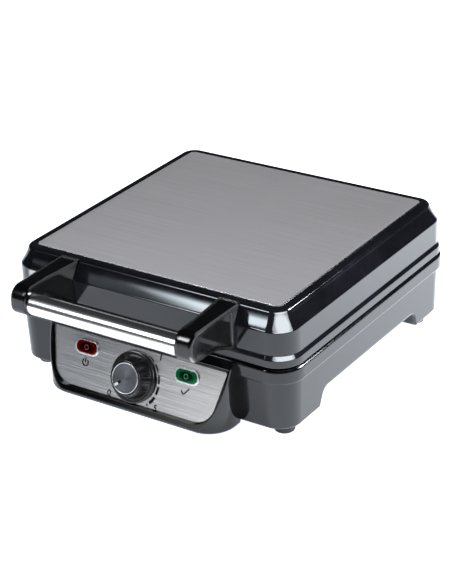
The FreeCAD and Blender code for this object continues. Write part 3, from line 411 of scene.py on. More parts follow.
# The lens's paler rim and streaks are a painted highlight over its dark middle.
LENS_RED = Finish(
    "lens_dark_red", "lens_red", (0.003, 0.0001, 0.0001), (0.19, 0.0015, 0.002),
    effect=Effect.PAINTED_RIM_GLINT, size=0.3, roughness=(0.05, 0.1), specular=0.06, on_map=True)
# A paler red or green for the ring in a lens, painted as its highlight.
LENS_RED_RING_GLINT = Finish(
    "lens_ring_painted_glint_red", "lens_red", (0.24, 0.008, 0.01), (0.4, 0.015, 0.02),
    size=0.001, roughness=(0.15, 0.25))
LENS_GREEN = replace(
    LENS_RED, name="lens_dark_green", slot="lens_green", deep=(0.0003, 0.004, 0.0015),
    pale=(0.006, 0.24, 0.08))
LENS_GREEN_RING_GLINT = replace(
    LENS_RED_RING_GLINT, name="lens_ring_painted_glint_green", slot="lens_green", deep=(0.005, 0.22, 0.07),
    pale=(0.01, 0.34, 0.11))
FOOT_RUBBER = Finish(
    "foot_rubber", "foot_rubber", (0.012, 0.012, 0.012), (0.022, 0.022, 0.022),
    size=0.002, roughness=(0.55, 0.7), bump=0.00006)
PLATE_COATING = Finish(
    "plate_coating", "plate_coating", (0.03, 0.03, 0.031), (0.075, 0.075, 0.078),
    effect=Effect.SPECKLED, size=0.0014, roughness=(0.32, 0.42), bump=0.00003, specular=0.6,
    edge=0.0007)
HEATER_SHEATH = Finish(
    "heater_sheath", "heater_sheath", (0.22, 0.21, 0.2), (0.34, 0.33, 0.31),
    size=0.006, roughness=(0.35, 0.5), metallic=1.0)
REFLECTOR_SHEET = Finish(
    "reflector_sheet", "reflector_sheet", (0.62, 0.63, 0.64), (0.78, 0.79, 0.8),
    effect=Effect.BRUSHED, size=0.002, roughness=(0.22, 0.36), metallic=1.0)
SCREW_STEEL = Finish(
    "screw_zinc", "screw_steel", (0.5, 0.5, 0.48), (0.68, 0.68, 0.66),
    size=0.002, roughness=(0.25, 0.4), metallic=1.0)
CERAMIC_WHITE = Finish(
    "ceramic_unglazed", "ceramic_white", (0.74, 0.71, 0.64), (0.86, 0.83, 0.77),
    size=0.002, roughness=(0.6, 0.75), bump=0.00005)
BLOCK_PLASTIC = Finish(
    "block_plastic", "block_plastic", (0.68, 0.67, 0.63), (0.78, 0.77, 0.73),
    roughness=(0.4, 0.5), bump=0.00003)
THERMOSTAT_PLASTIC = Finish(
    "thermostat_plastic", "thermostat_plastic", (0.09, 0.05, 0.035), (0.14, 0.08, 0.06),
    size=0.003, roughness=(0.45, 0.6), bump=0.00004)
SHAFT_STEEL = Finish(
    "shaft_turned_steel", "shaft_steel", (0.54, 0.54, 0.54), (0.68, 0.68, 0.68),
    size=0.001, metallic=1.0)
NUT_BRASS = Finish(
    "nut_brass", "nut_brass", (0.6, 0.45, 0.18), (0.75, 0.6, 0.3),
    size=0.002, roughness=(0.22, 0.34), metallic=1.0)
SENSOR_COPPER = Finish(
    "sensor_copper", "sensor_copper", (0.5, 0.28, 0.15), (0.66, 0.4, 0.24),
    size=0.003, roughness=(0.25, 0.38), metallic=1.0)
NEON_GLASS = Finish(
    "neon_glass", "neon_glass", (0.8, 0.76, 0.72), (0.9, 0.87, 0.84),
    size=0.003, roughness=(0.05, 0.12), transmission=0.7)
GLAND_PLASTIC = Finish(
    "gland_plastic", "gland_plastic", (0.012, 0.012, 0.012), (0.024, 0.024, 0.024),
    size=0.002, roughness=(0.35, 0.5), bump=0.00004, edge=0.0004)
WIRE_SLEEVE = Finish(
    "wire_sleeve", "wire_sleeve", (0.46, 0.41, 0.35), (0.62, 0.57, 0.5),
    size=0.0012, roughness=(0.65, 0.8), bump=0.00008)
LEAD_SLEEVE = Finish(
    "lead_sleeve", "lead_sleeve", (0.03, 0.03, 0.03), (0.055, 0.055, 0.055),
    size=0.0015, roughness=(0.5, 0.65), bump=0.00006)
BUSH_PLASTIC = Finish(
    "bush_plastic", "bush_plastic", (0.72, 0.72, 0.68), (0.82, 0.82, 0.79),
    size=0.003, roughness=(0.3, 0.42))
PRINT_INK = Finish(
    "print_ink", "", (0.002, 0.002, 0.002), (0.006, 0.006, 0.006),
    size=0.0008, roughness=(0.4, 0.55), specular=0.1)
# A pale patch at the end of the pointer's groove, painted as its highlight.
POINTER_GLINT_PAINT = Finish(
    "pointer_painted_glint", "", (0.74, 0.74, 0.72), (0.86, 0.86, 0.85),
    size=0.0006, roughness=(0.35, 0.5))


def dress(node: str, finish: Finish) -> None:
    """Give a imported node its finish.

    Args:
        node: Name of the node.
        finish: Its finish.
    """
    shape = frame["nodes"][node]
    shape.data.materials.clear()
    shape.data.materials.append(finish.material())
    LOG.info("dressed %s with %s", node, finish.name)


def new_object(name: str, shape: Shape) -> bpy.types.Object:
    """Put a mesh in the scene.

    Args:
        name: Name of the object and its mesh.
        shape: The mesh in place, which is freed here.

    Returns:
        The new object.
    """
    mesh = bpy.data.meshes.new(name)
    shape.to_mesh(mesh)
    shape.free()
    made = bpy.data.objects.new(name, mesh)
    bpy.context.scene.collection.objects.link(made)
    return made


def add_piece(name: str, shape: Shape, finish: Finish, body: str,
              stands_for: tuple[str, ...] = ()) -> bpy.types.Object:
    """Make a finished piece of the object.

    Args:
        name: Name of the piece.
        shape: Its mesh in place, which is freed here.
        finish: Its finish.
        body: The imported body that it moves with.
        stands_for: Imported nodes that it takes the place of.

    Returns:
        The new object.
    """
    for face in shape.faces:
        face.smooth = True
    for edge in shape.edges:
        edge.smooth = edge.is_manifold and edge.calc_face_angle(math.pi) < SHARP_ANGLE
    piece = new_object(name, shape)
    piece.data.materials.append(finish.material())
    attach(piece, body)
    if stands_for:
        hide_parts(*stands_for)
    LOG.info("made %s on %s", name, body)
    return piece


def merge(shape: Shape) -> None:
    """Join the points of a mesh that lie in one place."""
    bmesh.ops.remove_doubles(shape, verts=shape.verts, dist=MERGE_DISTANCE)


def merged_copy(node: str) -> Shape:
    """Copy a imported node's mesh with its loose triangles joined.

    Args:
        node: Name of the node.

    Returns:
        The joined copy.
    """
    shape = bmesh.new()
    shape.from_mesh(frame["nodes"][node].data)
    merge(shape)
    return shape


def turn_round(shape: Shape, steps: int) -> None:
    """Turn a section once about the Z axis.

    Args:
        shape: Mesh that holds only the section.
        steps: Faces round the turn.
    """
    bmesh.ops.spin(shape, geom=[*shape.verts, *shape.edges], cent=ORIGIN, axis=UPWARD,
                   angle=math.tau, steps=steps, use_merge=True)
    merge(shape)
    bmesh.ops.recalc_face_normals(shape, faces=shape.faces)


def clock_point(degrees: float, radius: float) -> Vector:
    """Give a flat point by its angle clockwise from the top and its distance."""
    angle = math.radians(degrees)
    return Vector((math.sin(angle), math.cos(angle), 0.0)) * radius


def map_lines(shape: Shape, along: Vector, across: Vector) -> None:
    """Give a mesh a map whose first coordinate follows straight brushing.

    Args:
        shape: The mesh.
        along: Direction of the brushing.
        across: Direction across it, in the sheet.
    """
    layer = shape.loops.layers.uv.new(GRAIN_MAP)
    for face in shape.faces:
        for loop in face.loops:
            loop[layer].uv = (loop.vert.co.dot(along), loop.vert.co.dot(across))


def points_of(node: str) -> list[Vector]:
    """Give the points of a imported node's mesh."""
    return [vertex.co for vertex in frame["nodes"][node].data.vertices]


def joint(name: str) -> dict:
    """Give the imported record's joint of that name."""
    return next(entry for entry in frame["joints"] if entry["name"] == name)


@dataclass
class Panel:
    """The fascia's plane, measured from the dial's axis."""

    fascia: str = "control_fascia"
    place: Matrix = field(init=False)

    def __post_init__(self) -> None:
        """Find the plane from the dial's joint and the fascia's front."""
        dial = joint("knob_turn")
        out = -Vector(dial["axis"]).normalized()
        along = out.cross(ACROSS)
        centre = Vector(dial["pos_m"])
        front = max(point.dot(out) for point in points_of(self.fascia))
        centre += out * (front - centre.dot(out))
        turn = Matrix((ACROSS, along, out)).transposed()
        self.place = Matrix.Translation(centre) @ turn.to_4x4()

    @property
    def along(self) -> Vector:
        """Direction up the panel."""
        return self.place.col[1].to_3d()

    def local(self, point: Vector) -> Vector:
        """Give a point of the object in the panel's own frame."""
        return self.place.inverted() @ point

    def put(self, shape: Shape, spot: Vector = ORIGIN) -> None:
        """Move a mesh from the panel's own frame to its place.

        Args:
            shape: The mesh.
            spot: Where its origin goes, in the panel's own frame.
        """
        bmesh.ops.transform(shape, matrix=self.place @ Matrix.Translation(spot), verts=shape.verts)


Finishes = dict[str, Finish]


@dataclass
class Dressed:
    """A sub-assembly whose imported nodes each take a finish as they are."""

    finishes: Finishes

    def build(self) -> None:
        """Dress every node."""
        for node, finish in self.finishes.items():
            dress(node, finish)


@dataclass
class Housings(Dressed):
    """The black mouldings of the base, the lid and the control box, the feet and the gland."""

    finishes: Finishes = field(default_factory=lambda: {
        "lid_housing": HOUSING_BLACK,
        "control_box": HOUSING_BLACK,
        "base_housing": BASE_BLACK,
        "rubber_feet": FOOT_RUBBER,
        "cord_gland": GLAND_PLASTIC,
    })


@dataclass
class LidPlate:
    """The brushed sheet in the top of the lid."""

    node: str = "lid_plate"
    flattest_edge: float = 0.97

    def build(self) -> None:
        """Make the sheet with its brushing from side to side and a bright cut edge."""
        sheet = merged_copy(self.node)
        map_lines(sheet, ACROSS, REARWARD)
        sheet.normal_update()
        for face in sheet.faces:
            face.material_index = int(abs(face.normal.z) < self.flattest_edge)
        piece = add_piece(SHEET_NAME, sheet, LID_STEEL, "lid", (self.node,))
        piece.data.materials.append(BEZEL_CHROME.material())


@dataclass
class Handle(Dressed):
    """The two arms, the polished tube between them and their screws."""

    finishes: Finishes = field(default_factory=lambda: {
        **dict.fromkeys(ARMS, HANDLE_BLACK),
        "handle_tube": TUBE_CHROME,
        "handle_screws": SCREW_STEEL,
    })


@dataclass(kw_only=True)
class ControlPanel(Dressed):
    """The fascia, its lamps and the print on it."""

    panel: Panel
    ink_height: float = 0.00006
    scale_radius: Span = (0.0233, 0.0249)
    scale_start: float = 29.0
    scale_pitch: float = 22.0
    scale_dashes: int = 5
    scale_filled: float = 0.74
    scale_width: Span = (0.0009, 0.0026)
    dash_steps: int = 6
    dot_angle: float = 139.5
    dot_radius: float = 0.0009
    dot_steps: int = 20
    figure_size: float = 0.0074
    figure_weight: float = 0.00018
    # Angle clockwise from the top, in degrees, and distance from the dial's axis.
    figures: dict[str, Span] = field(default_factory=lambda: {
        "0": (229.0, 0.0285),
        "1": (46.0, 0.031),
        "5": (129.0, 0.0315),
    })
    sign_drop: float = 0.0125
    sign_radius: float = 0.0034
    sign_gap: float = 35.0
    sign_steps: int = 24
    stroke: float = 0.0011
    # Shares of the sign's radius.
    bar: float = 1.15
    tick: tuple[Span, ...] = ((-1.0, 0.05), (-0.25, -0.75), (1.1, 0.9))
    ring_radius: float = 0.0019
    ring_steps: int = 40
    wire: float = 0.0004
    wire_steps: int = 12
    # Each lens's finish, then its ring's paler finish, which is a painted highlight.
    lenses: dict[str, tuple[Finish, Finish]] = field(default_factory=lambda: {
        "power_lens": (LENS_RED, LENS_RED_RING_GLINT),
        "ready_lens": (LENS_GREEN, LENS_GREEN_RING_GLINT),
    })
    finishes: Finishes = field(default_factory=lambda: {
        "lamp_bezels": BEZEL_CHROME,
        "neon_lamps": NEON_GLASS,
        "lamp_holders": BLOCK_PLASTIC,
    })

    def build(self) -> None:
        """Make the fascia, the lenses and the print, and dress the lamps."""
        fascia = merged_copy(self.panel.fascia)
        map_lines(fascia, ACROSS, self.panel.along)
        add_piece("fascia_brushed_sheet", fascia, FASCIA_STEEL, "base", (self.panel.fascia,))
        for lens, (finish, ring) in self.lenses.items():
            add_piece(f"{lens}_cover", self.lens_cover(lens), finish, "base", (lens,))
            # The ring's paler colour is a painted highlight.
            add_piece(f"{lens}_ring", self.lens_ring(lens), ring, "base")
        super().build()
        self.print_piece("scale_print", self.scale())
        self.print_piece("figure_print", self.figure_set())
        self.print_piece("lamp_sign_print", self.lamp_signs())

    def lens_cover(self, lens: str) -> Shape:
        """Copy a lens with a map that runs from minus one to one over it.

        Args:
            lens: The lamp's lens node.

        Returns:
            The mapped copy.
        """
        cover = merged_copy(lens)
        spots = [self.panel.local(vertex.co) for vertex in cover.verts]
        low = Vector([min(spot[axis] for spot in spots) for axis in range(2)])
        high = Vector([max(spot[axis] for spot in spots) for axis in range(2)])
        layer = cover.loops.layers.uv.new(GRAIN_MAP)
        for face in cover.faces:
            for loop in face.loops:
                spot = self.panel.local(loop.vert.co)
                loop[layer].uv = [
                    (2 * spot[axis] - low[axis] - high[axis]) / (high[axis] - low[axis])
                    for axis in range(2)]
        return cover

    def lens_middle(self, lens: str) -> Vector:
        """Give the middle of a lens in the panel's frame."""
        low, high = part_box(lens)
        return self.panel.local((low + high) / 2)

    def lens_ring(self, lens: str) -> Shape:
        """Make the small moulded ring in the middle of a lens.

        Args:
            lens: The lamp's lens node.

        Returns:
            The ring in place.
        """
        front = max(self.panel.local(point).z for point in points_of(lens))
        ring = bmesh.new()
        upright = Matrix.Rotation(math.pi / 2, 4, "X")
        bmesh.ops.create_circle(ring, segments=self.wire_steps, radius=self.wire,
                                matrix=Matrix.Translation(ACROSS * self.ring_radius) @ upright)
        turn_round(ring, self.ring_steps)
        spot = self.lens_middle(lens)
        spot.z = front - self.wire / 2
        self.panel.put(ring, spot)
        return ring

    def print_piece(self, name: str, ink: Shape) -> None:
        """Lay flat ink on the fascia as a thin piece.

        Args:
            name: Name of the piece.
            ink: Flat faces in the panel's frame.
        """
        merge(ink)
        bmesh.ops.recalc_face_normals(ink, faces=ink.faces)
        for face in ink.faces:
            if face.normal.z < 0:
                face.normal_flip()
        raised = bmesh.ops.extrude_face_region(ink, geom=list(ink.faces), use_keep_orig=True)
        top = [item for item in raised["geom"] if isinstance(item, bmesh.types.BMVert)]
        bmesh.ops.translate(ink, verts=top, vec=UPWARD * self.ink_height)
        bmesh.ops.recalc_face_normals(ink, faces=ink.faces)
        self.panel.put(ink)
        add_piece(name, ink, PRINT_INK, "base")

    @staticmethod
    def sector(ink: Shape, radii: Span, angles: Span, steps: int, centre: Vector = ORIGIN) -> None:
        """Add a part of a ring.

        Args:
            ink: Mesh to add to.
            radii: Inner and outer radius.
            angles: First and last angle, in degrees clockwise from the top.
            steps: Faces along the arc.
            centre: Middle of the ring.
        """
        start, end = angles
        ends = [ink.verts.new(centre + clock_point(start, radius)) for radius in radii]
        edge = ink.edges.new(ends)
        bmesh.ops.spin(ink, geom=[*ends, edge], cent=centre, axis=UPWARD,
                       angle=math.radians(start - end), steps=steps, use_duplicate=False)

    def line(self, ink: Shape, start: Vector, end: Vector) -> None:
        """Add a straight stroke.

        Args:
            ink: Mesh to add to.
            start: One end.
            end: The other end.
        """
        run = end - start
        side = Vector((-run.y, run.x, 0.0)).normalized() * (self.stroke / 2)
        corners = (start - side, end - side, end + side, start + side)
        ink.faces.new([ink.verts.new(corner) for corner in corners])

    def scale(self) -> Shape:
        """Make the dashed scale that widens towards its high end, where it has a dot."""
        ink = bmesh.new()
        near, far = self.scale_radius
        thin, thick = self.scale_width
        for index in range(self.scale_dashes):
            share = index / (self.scale_dashes - 1)
            width = thin + share * (thick - thin)
            middle = near + share * (far - near)
            start = self.scale_start + index * self.scale_pitch
            self.sector(ink, (middle - width / 2, middle + width / 2),
                        (start, start + self.scale_filled * self.scale_pitch), self.dash_steps)
        spot = Matrix.Translation(clock_point(self.dot_angle, far))
        bmesh.ops.create_circle(ink, cap_ends=True, segments=self.dot_steps,
                                radius=self.dot_radius, matrix=spot)
        return ink

    def figure_set(self) -> Shape:
        """Make the plain numbers round the dial."""
        ink = bmesh.new()
        for figure, (degrees, radius) in self.figures.items():
            mesh = self.figure_mesh(figure)
            mesh.transform(Matrix.Translation(clock_point(degrees, radius)))
            ink.from_mesh(mesh)
            bpy.data.meshes.remove(mesh)
        return ink

    def figure_mesh(self, figure: str) -> bpy.types.Mesh:
        """Make one flat number about its own middle.

        Args:
            figure: The number.

        Returns:
            Its flat mesh.
        """
        curve = bpy.data.curves.new("figure", "FONT")
        curve.body = figure
        curve.size = self.figure_size
        curve.offset = self.figure_weight
        curve.align_x = "CENTER"
        curve.align_y = "CENTER"
        maker = bpy.data.objects.new("figure", curve)
        bpy.context.scene.collection.objects.link(maker)
        graph = bpy.context.evaluated_depsgraph_get()
        mesh = bpy.data.meshes.new_from_object(maker.evaluated_get(graph))
        bpy.data.objects.remove(maker)
        bpy.data.curves.remove(curve)
        return mesh

    def lamp_signs(self) -> Shape:
        """Make a broken ring with a bar below one lamp, and a tick below the other."""
        ink = bmesh.new()
        power = self.below("power_lens")
        self.sector(ink, (self.sign_radius - self.stroke, self.sign_radius),
                    (self.sign_gap, FULL_CIRCLE - self.sign_gap), self.sign_steps, power)
        self.line(ink, power, power + Vector((0.0, self.bar * self.sign_radius, 0.0)))
        ready = self.below("ready_lens")
        points = [ready + Vector((x, y, 0.0)) * self.sign_radius for x, y in self.tick]
        for start, end in zip(points, points[1:]):
            self.line(ink, start, end)
        return ink

    def below(self, lens: str) -> Vector:
        """Give the place of the sign below a lamp's lens, in the panel's frame."""
        spot = self.lens_middle(lens)
        return Vector((spot.x, spot.y - self.sign_drop, 0.0))


@dataclass(kw_only=True)
class Dial(Dressed):
    """The thermostat's knob with its spun metal cap and pointer."""

    panel: Panel
    rings: int = 8
    steps: int = 144
    bead: float = 0.00035
    bead_steps: int = 8
    bead_sunk: float = 0.5
    pointer_angle: float = 229.0
    pointer_length: float = 0.0068
    pointer_width: float = 0.0021
    pointer_depth: float = 0.0005
    paint_gap: float = 0.00012
    # Length of the pale patch at the pointer's outer end, which is a painted highlight.
    glint_length: float = 0.0036
    finishes: Finishes = field(default_factory=lambda: {
        "knob": KNOB_BLACK,
        "thermostat_shaft": SHAFT_STEEL,
    })
    radius: float = field(init=False)
    low: float = field(init=False)
    top: float = field(init=False)

    def __post_init__(self) -> None:
        """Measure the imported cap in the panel's frame."""
        spots = [self.panel.local(point) for point in points_of("knob_cap")]
        self.radius = max(math.hypot(spot.x, spot.y) for spot in spots)
        self.low = min(spot.z for spot in spots)
        self.top = max(spot.z for spot in spots)

    @property
    def reach(self) -> Span:
        """Distances of the pointer's ends from the axis."""
        inner = self.radius - self.pointer_width / 2 - self.pointer_length
        return inner, inner + self.pointer_length

    def build(self) -> None:
        """Dress the knob and its shaft, and make the cap, its bright edge, its pointer and a
        painted highlight at the pointer's outer end.
        """
        super().build()
        add_piece("knob_spun_cap", self.cap(), KNOB_METAL, "knob", ("knob_cap",))
        add_piece("knob_cap_edge", self.cap_edge(), BEZEL_CHROME, "knob")
        inner, outer = self.reach
        middle = outer - self.glint_length
        add_piece("pointer_line", self.paint(inner, middle), PRINT_INK, "knob")
        # The pale patch at the outer end is a painted highlight.
        add_piece("pointer_dot", self.paint(middle, outer), POINTER_GLINT_PAINT, "knob")

    def turned(self, section: list[Span]) -> Shape:
        """Turn a section about the dial's axis.

        Args:
            section: Points of the section as radius and height.

        Returns:
            The turned mesh in the panel's frame.
        """
        shape = bmesh.new()
        points = [shape.verts.new((radius, 0.0, height)) for radius, height in section]
        for pair in zip(points, points[1:]):
            shape.edges.new(pair)
        turn_round(shape, self.steps)
        return shape

    def cap(self) -> Shape:
        """Make the turned disc with the pointer's groove cut into it.

        Returns:
            The cap in place, with a map whose first coordinate follows the turning.
        """
        section = [(self.radius * index / self.rings, self.top) for index in range(self.rings + 1)]
        section += [(self.radius, self.low), (0.0, self.low)]
        groove = self.bar(*self.reach, self.top + self.pointer_depth)
        shape = self.cut(self.turned(section), groove)
        layer = shape.loops.layers.uv.new(GRAIN_MAP)
        for face in shape.faces:
            middle = face.calc_center_median()
            home = math.atan2(middle.y, middle.x)
            for loop in face.loops:
                spot = loop.vert.co
                turn = math.remainder(math.atan2(spot.y, spot.x) - home, math.tau)
                loop[layer].uv = ((home + turn) * self.radius, math.hypot(spot.x, spot.y))
        self.panel.put(shape)
        return shape

    def cap_edge(self) -> Shape:
        """Make the bright bead round the cap."""
        corner = self.radius - self.bead
        section = []
        for index in range(self.bead_steps + 1):
            angle = math.pi * index / self.bead_steps
            section.append((corner + self.bead * math.cos(angle),
                            self.top + self.bead * (math.sin(angle) - self.bead_sunk)))
        section.append(section[0])
        shape = self.turned(section)
        self.panel.put(shape)
        return shape

    def bar(self, inner: float, outer: float, high: float) -> Shape:
        """Make a bar that stands on the floor of the pointer's groove.

        Args:
            inner: Distance of its inner end from the axis.
            outer: Distance of its outer end.
            high: Height of its top.

        Returns:
            The bar in the panel's frame.
        """
        low = self.top - self.pointer_depth
        shape = bmesh.new()
        size = Matrix.Diagonal((self.pointer_width, outer - inner, high - low, 1.0))
        shift = Matrix.Translation((0.0, (inner + outer) / 2, (low + high) / 2))
        aim = Matrix.Rotation(-math.radians(self.pointer_angle), 4, "Z")
        bmesh.ops.create_cube(shape, size=1.0, matrix=aim @ shift @ size)
        return shape

    def paint(self, inner: float, outer: float) -> Shape:
        """Make a stretch of paint in the pointer's groove.

        Args:
            inner: Distance of its inner end from the axis.
            outer: Distance of its outer end.

        Returns:
            The paint in place.
        """
        shape = self.bar(inner, outer, self.top - self.paint_gap)
        self.panel.put(shape)
        return shape

    @staticmethod
    def cut(shape: Shape, tool: Shape) -> Shape:
        """Cut one closed mesh out of another.

        Args:
            shape: Mesh to cut, which is freed here.
            tool: Mesh to cut with, which is freed here.

        Returns:
            The mesh that is left.
        """
        makers = [new_object("cutting", source) for source in (shape, tool)]
        modifier = makers[0].modifiers.new("cutting", "BOOLEAN")
        modifier.object = makers[1]
        modifier.solver = "EXACT"
        graph = bpy.context.evaluated_depsgraph_get()
        result = bmesh.new()
        result.from_mesh(makers[0].evaluated_get(graph).to_mesh())
        for maker in makers:
            mesh = maker.data
            bpy.data.objects.remove(maker)
            bpy.data.meshes.remove(mesh)
        return result


@dataclass
class BakingPlates(Dressed):
    """The coated waffle plates with what heats them."""

    finishes: Finishes = field(default_factory=lambda: {
        f"{place}_{piece}": finish
        for place in ("lower", "upper")
        for piece, finish in (
            ("waffle_plate", PLATE_COATING),
            ("heater", HEATER_SHEATH),
            ("reflector", REFLECTOR_SHEET),
            ("insulators", CERAMIC_WHITE),
            ("plate_screws", SCREW_STEEL),
        )
    })


@dataclass
class InnerWorks(Dressed):
    """The pieces inside that carry, join and switch."""

    finishes: Finishes = field(default_factory=lambda: {
        "control_box_screws": SCREW_STEEL,
        "thermostat_body": THERMOSTAT_PLASTIC,
        "thermostat_nut": NUT_BRASS,
        "sensor_bulb": SENSOR_COPPER,
        "sensor_clip": SCREW_STEEL,
        "thermal_fuse": CERAMIC_WHITE,
        "fuse_clip": SCREW_STEEL,
        "terminal_block": BLOCK_PLASTIC,
        "base_wiring": WIRE_SLEEVE,
        "lid_wiring": WIRE_SLEEVE,
        "base_lead": LEAD_SLEEVE,
        "lid_lead": LEAD_SLEEVE,
        "hinge_stubs": SHAFT_STEEL,
        "hinge_bushes": BUSH_PLASTIC,
    })


class Fade(Enum):
    """How a light's brightness runs over its face."""

    EVEN = "even"
    SOFT_EDGE = "soft_edge"
    TO_LEFT = "to_left"
    SOFT_LEFT = "soft_left"


@dataclass(frozen=True)
class Softbox:
    """A rectangular studio light, aimed at a point.

    A fade runs between dimmest and full strength over span, and SOFT_LEFT also rises from nothing
    over rise. Both are shares of its face. It lights the pieces named in only, or all but spared.
    """

    name: str
    place: Point
    size: Span
    power: float
    aim: Point = (0.0, 0.0, 0.1)
    tint: Colour = WHITE
    fade: Fade = Fade.EVEN
    span: Span = WHOLE
    dimmest: float = 0.0
    rise: Span = WHOLE
    only: tuple[str, ...] = ()
    spared: tuple[str, ...] = ()
    FACE_MIDDLE: ClassVar[Point] = (0.5, 0.5, 0.0)
    FLAT: ClassVar[Point] = (1.0, 1.0, 0.0)

    def shade(self, light: bpy.types.AreaLight) -> None:
        """Let the light's brightness run over its face.

        Args:
            light: The light to shade.
        """
        light.use_nodes = True
        graph = Graph(light.node_tree)
        place = graph.add("ShaderNodeNewGeometry").outputs["Parametric"]
        if self.fade is Fade.SOFT_EDGE:
            offset = graph.vector("SUBTRACT", place, self.FACE_MIDDLE)
            reach = graph.length(graph.vector("MULTIPLY", offset, self.FLAT))
            strength = graph.spread(reach, self.span, (1.0, self.dimmest))
        else:
            parts = graph.add("ShaderNodeSeparateXYZ", {0: place})
            strength = graph.spread(parts.outputs[0], self.span, (self.dimmest, 1.0))
            if self.fade is Fade.SOFT_LEFT:
                low = graph.spread(parts.outputs[1], self.rise)
                strength = graph.math("MULTIPLY", strength, low)
        glow = graph.add("ShaderNodeEmission", {"Color": (*WHITE, 1.0), "Strength": strength})
        graph.add("ShaderNodeOutputLight", {"Surface": glow.outputs[0]})

    def build(self) -> None:
        """Put the light in the scene."""
        light = bpy.data.lights.new(self.name, "AREA")
        light.shape = "RECTANGLE"
        light.size, light.size_y = self.size
        light.energy = self.power
        light.color = self.tint
        if self.fade is not Fade.EVEN:
            self.shade(light)
        lamp = bpy.data.objects.new(self.name, light)
        lamp.location = self.place
        way = Vector(self.aim) - Vector(self.place)
        lamp.rotation_euler = way.to_track_quat("-Z", "Y").to_euler()
        lamp.visible_camera = False
        bpy.context.scene.collection.objects.link(lamp)
        if self.only or self.spared:
            self.link(lamp)

    def link(self, lamp: bpy.types.Object) -> None:
        """Let the light fall only on some pieces, or on all but some.

        Args:
            lamp: The light in the scene.
        """
        chosen = bpy.data.collections.new(self.name)
        for name in (*self.only, *self.spared):
            chosen.objects.link(frame["nodes"].get(name) or bpy.data.objects[name])
        if self.spared:
            for entry in chosen.collection_objects:
                entry.light_linking.link_state = "EXCLUDE"
        lamp.light_linking.receiver_collection = chosen


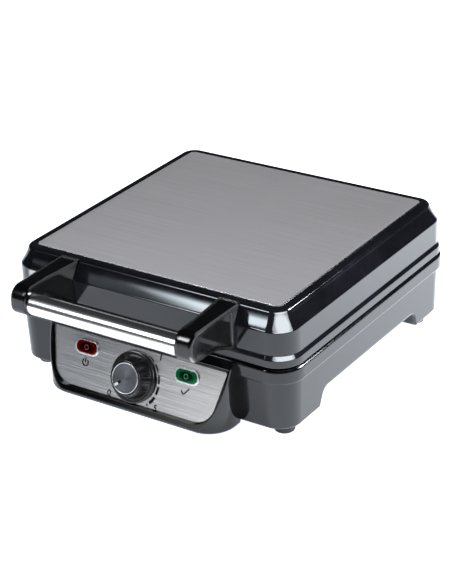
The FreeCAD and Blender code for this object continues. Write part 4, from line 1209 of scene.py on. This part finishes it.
@dataclass
class Studio:
    """Pale floor, soft lights and the camera of the photograph."""

    azimuth: float = 34.538
    elevation: float = 26.405
    roll: float = 2.362
    distance: float = 1.58742
    aim: Point = (-0.01604, 0.02790, 0.03527)
    lens: float = 112.647
    sensor: float = 36.0
    clip: Span = (0.05, 50.0)
    floor_low: Span = (-3.0, -1.0)
    floor_high: Span = (3.0, 6.0)
    floor_colour: Colour = (0.85, 0.85, 0.85)
    floor_roughness: float = 0.9
    floor_glow: float = 1.0
    floor_tint: Colour = (1.0, 1.07, 1.19)
    surround: Colour = (0.03, 0.032, 0.036)
    backdrop: Colour = WHITE
    lights: tuple[Softbox, ...] = (
        Softbox("key_softbox", place=(-0.66, -1.03, 1.07), aim=(0.03, -0.12, 0.1), size=(0.4, 0.5),
                power=14.0, tint=(0.93, 0.97, 1.0), fade=Fade.TO_LEFT, span=(0.0, 0.4),
                dimmest=0.03, spared=LID),
        Softbox("back_softbox", place=(-1.0, 1.1, 1.5), size=(1.6, 0.7), power=6.0, only=SHEET),
        Softbox("back_strip", place=(-1.1, 1.84, 0.55), size=(2.2, 0.3), power=1.4),
        Softbox("right_card", place=(1.6, 0.0, 0.65), size=(2.0, 0.8), power=5.0, only=SHEET),
        Softbox("side_card", place=(-1.6, -0.2, 0.6), size=(1.8, 0.7), power=3.6, only=SHEET),
        Softbox("front_card", place=(0.0, -1.7, 0.75), size=(2.0, 0.8), power=4.0, only=SHEET),
        Softbox("floor_wash", place=(0.7, 0.6, 0.7), aim=(0.42, 0.4, 0.0), size=(0.4, 0.4),
                power=32.0, tint=(0.9, 0.95, 1.0), spared=(*ARMS, *SHEET)),
        Softbox("front_strip", place=(-0.5, -1.17, 0.12), aim=(0.05, -0.13, 0.035),
                size=(0.4, 0.16), power=0.42, fade=Fade.TO_LEFT, span=(0.1, 0.6)),
        Softbox("corner_softbox", place=(0.55, -0.4, 0.4), aim=(0.125, -0.105, 0.1),
                size=(1.1, 0.45), power=33.0, tint=(0.88, 0.94, 1.0), fade=Fade.SOFT_EDGE,
                span=(0.3, 0.5), dimmest=0.45, only=LID),
        Softbox("bevel_softbox", place=(-0.6, -1.02, 0.5365), aim=(0.03, -0.125, 0.1),
                size=(0.44, 0.36), power=10.5, tint=(0.82, 0.93, 1.0), fade=Fade.SOFT_LEFT,
                span=(0.37, 0.54), dimmest=0.04, rise=(0.08, 0.44), only=LID),
        Softbox("left_card", place=(-0.23, -0.26, 0.003), aim=(-0.23, -0.259, 0.1),
                size=(0.12, 0.14), power=0.6, tint=(0.9, 0.95, 1.0), fade=Fade.SOFT_EDGE,
                span=(0.2, 0.5), only=LID),
        Softbox("arm_softbox", place=(0.14, -0.19, 0.004), aim=(0.14, -0.189, 0.1),
                size=(0.1, 0.12), power=0.28, only=ARMS),
        Softbox("arm_rim", place=(0.66, 0.45, 0.75), aim=(0.08, -0.15, 0.1), size=(0.8, 0.8),
                power=5.0, tint=(0.85, 0.92, 1.0), only=ARMS),
        Softbox("knob_softbox", place=(0.5, -0.55, 0.4), aim=(0.0, -0.14, 0.033), size=(0.3, 0.3),
                power=4.0, only=KNOB),
        Softbox("knob_top", place=(-0.5, -0.29, 0.88), aim=(0.0, -0.14, 0.05), size=(0.5, 0.5),
                power=11.0, only=KNOB),
    )

    def build(self) -> None:
        """Make the floor, the surround, the lights and the camera."""
        self.build_floor()
        self.build_surround()
        for light in self.lights:
            light.build()
        self.build_camera()
        bpy.context.scene.view_settings.view_transform = "Standard"

    def build_floor(self) -> None:
        """Make the pale floor, which glows softly as a light table does."""
        shape = bmesh.new()
        (left, front), (right, back) = self.floor_low, self.floor_high
        corners = ((left, front), (right, front), (right, back), (left, back))
        shape.faces.new([shape.verts.new((x, y, 0.0)) for x, y in corners])
        floor = new_object("studio_floor", shape)
        material = bpy.data.materials.new("studio_floor")
        material.use_nodes = True
        Graph(material.node_tree).surface({
            "Base Color": (*self.floor_colour, 1.0),
            "Roughness": self.floor_roughness,
            "Specular IOR Level": 0.0,
            "Emission Color": (*self.floor_tint, 1.0),
            "Emission Strength": self.floor_glow,
        })
        floor.data.materials.append(material)

    def build_surround(self) -> None:
        """Make a dim surround with a white backdrop behind the object."""
        world = bpy.data.worlds.new("studio")
        world.use_nodes = True
        graph = Graph(world.node_tree)
        dim = graph.add("ShaderNodeBackground", {"Color": (*self.surround, 1.0)})
        white = graph.add("ShaderNodeBackground", {"Color": (*self.backdrop, 1.0)})
        seen = graph.add("ShaderNodeLightPath").outputs["Is Camera Ray"]
        mix = graph.add("ShaderNodeMixShader", {0: seen, 1: dim.outputs[0], 2: white.outputs[0]})
        graph.add("ShaderNodeOutputWorld", {"Surface": mix.outputs[0]})
        bpy.context.scene.world = world

    def build_camera(self) -> None:
        """Put the camera at the photograph's viewing angle."""
        turn = math.radians(self.azimuth)
        rise = math.radians(self.elevation)
        lean = math.radians(self.roll)
        back = Vector((math.sin(turn) * math.cos(rise), -math.cos(turn) * math.cos(rise),
                       math.sin(rise)))
        level = UPWARD.cross(back).normalized()
        upright = back.cross(level)
        right = level * math.cos(lean) - upright * math.sin(lean)
        top = level * math.sin(lean) + upright * math.cos(lean)
        turned = Matrix((right, top, back)).transposed().to_4x4()
        data = bpy.data.cameras.new("camera")
        data.lens = self.lens
        data.sensor_width = self.sensor
        data.clip_start, data.clip_end = self.clip
        camera = bpy.data.objects.new("camera", data)
        camera.matrix_world = Matrix.Translation(Vector(self.aim) + back * self.distance) @ turned
        bpy.context.scene.collection.objects.link(camera)
        bpy.context.scene.camera = camera


def main() -> None:
    """Build every sub-assembly and the studio in order."""
    logging.basicConfig(level=logging.INFO, format="%(name)s: %(message)s")
    panel = Panel()
    for assembly in (Housings(), LidPlate(), Handle(), ControlPanel(panel=panel),
                     Dial(panel=panel), BakingPlates(), InnerWorks(), Studio()):
        assembly.build()
        LOG.info("finished %s", type(assembly).__name__)


if __name__ == "__main__":
    main()
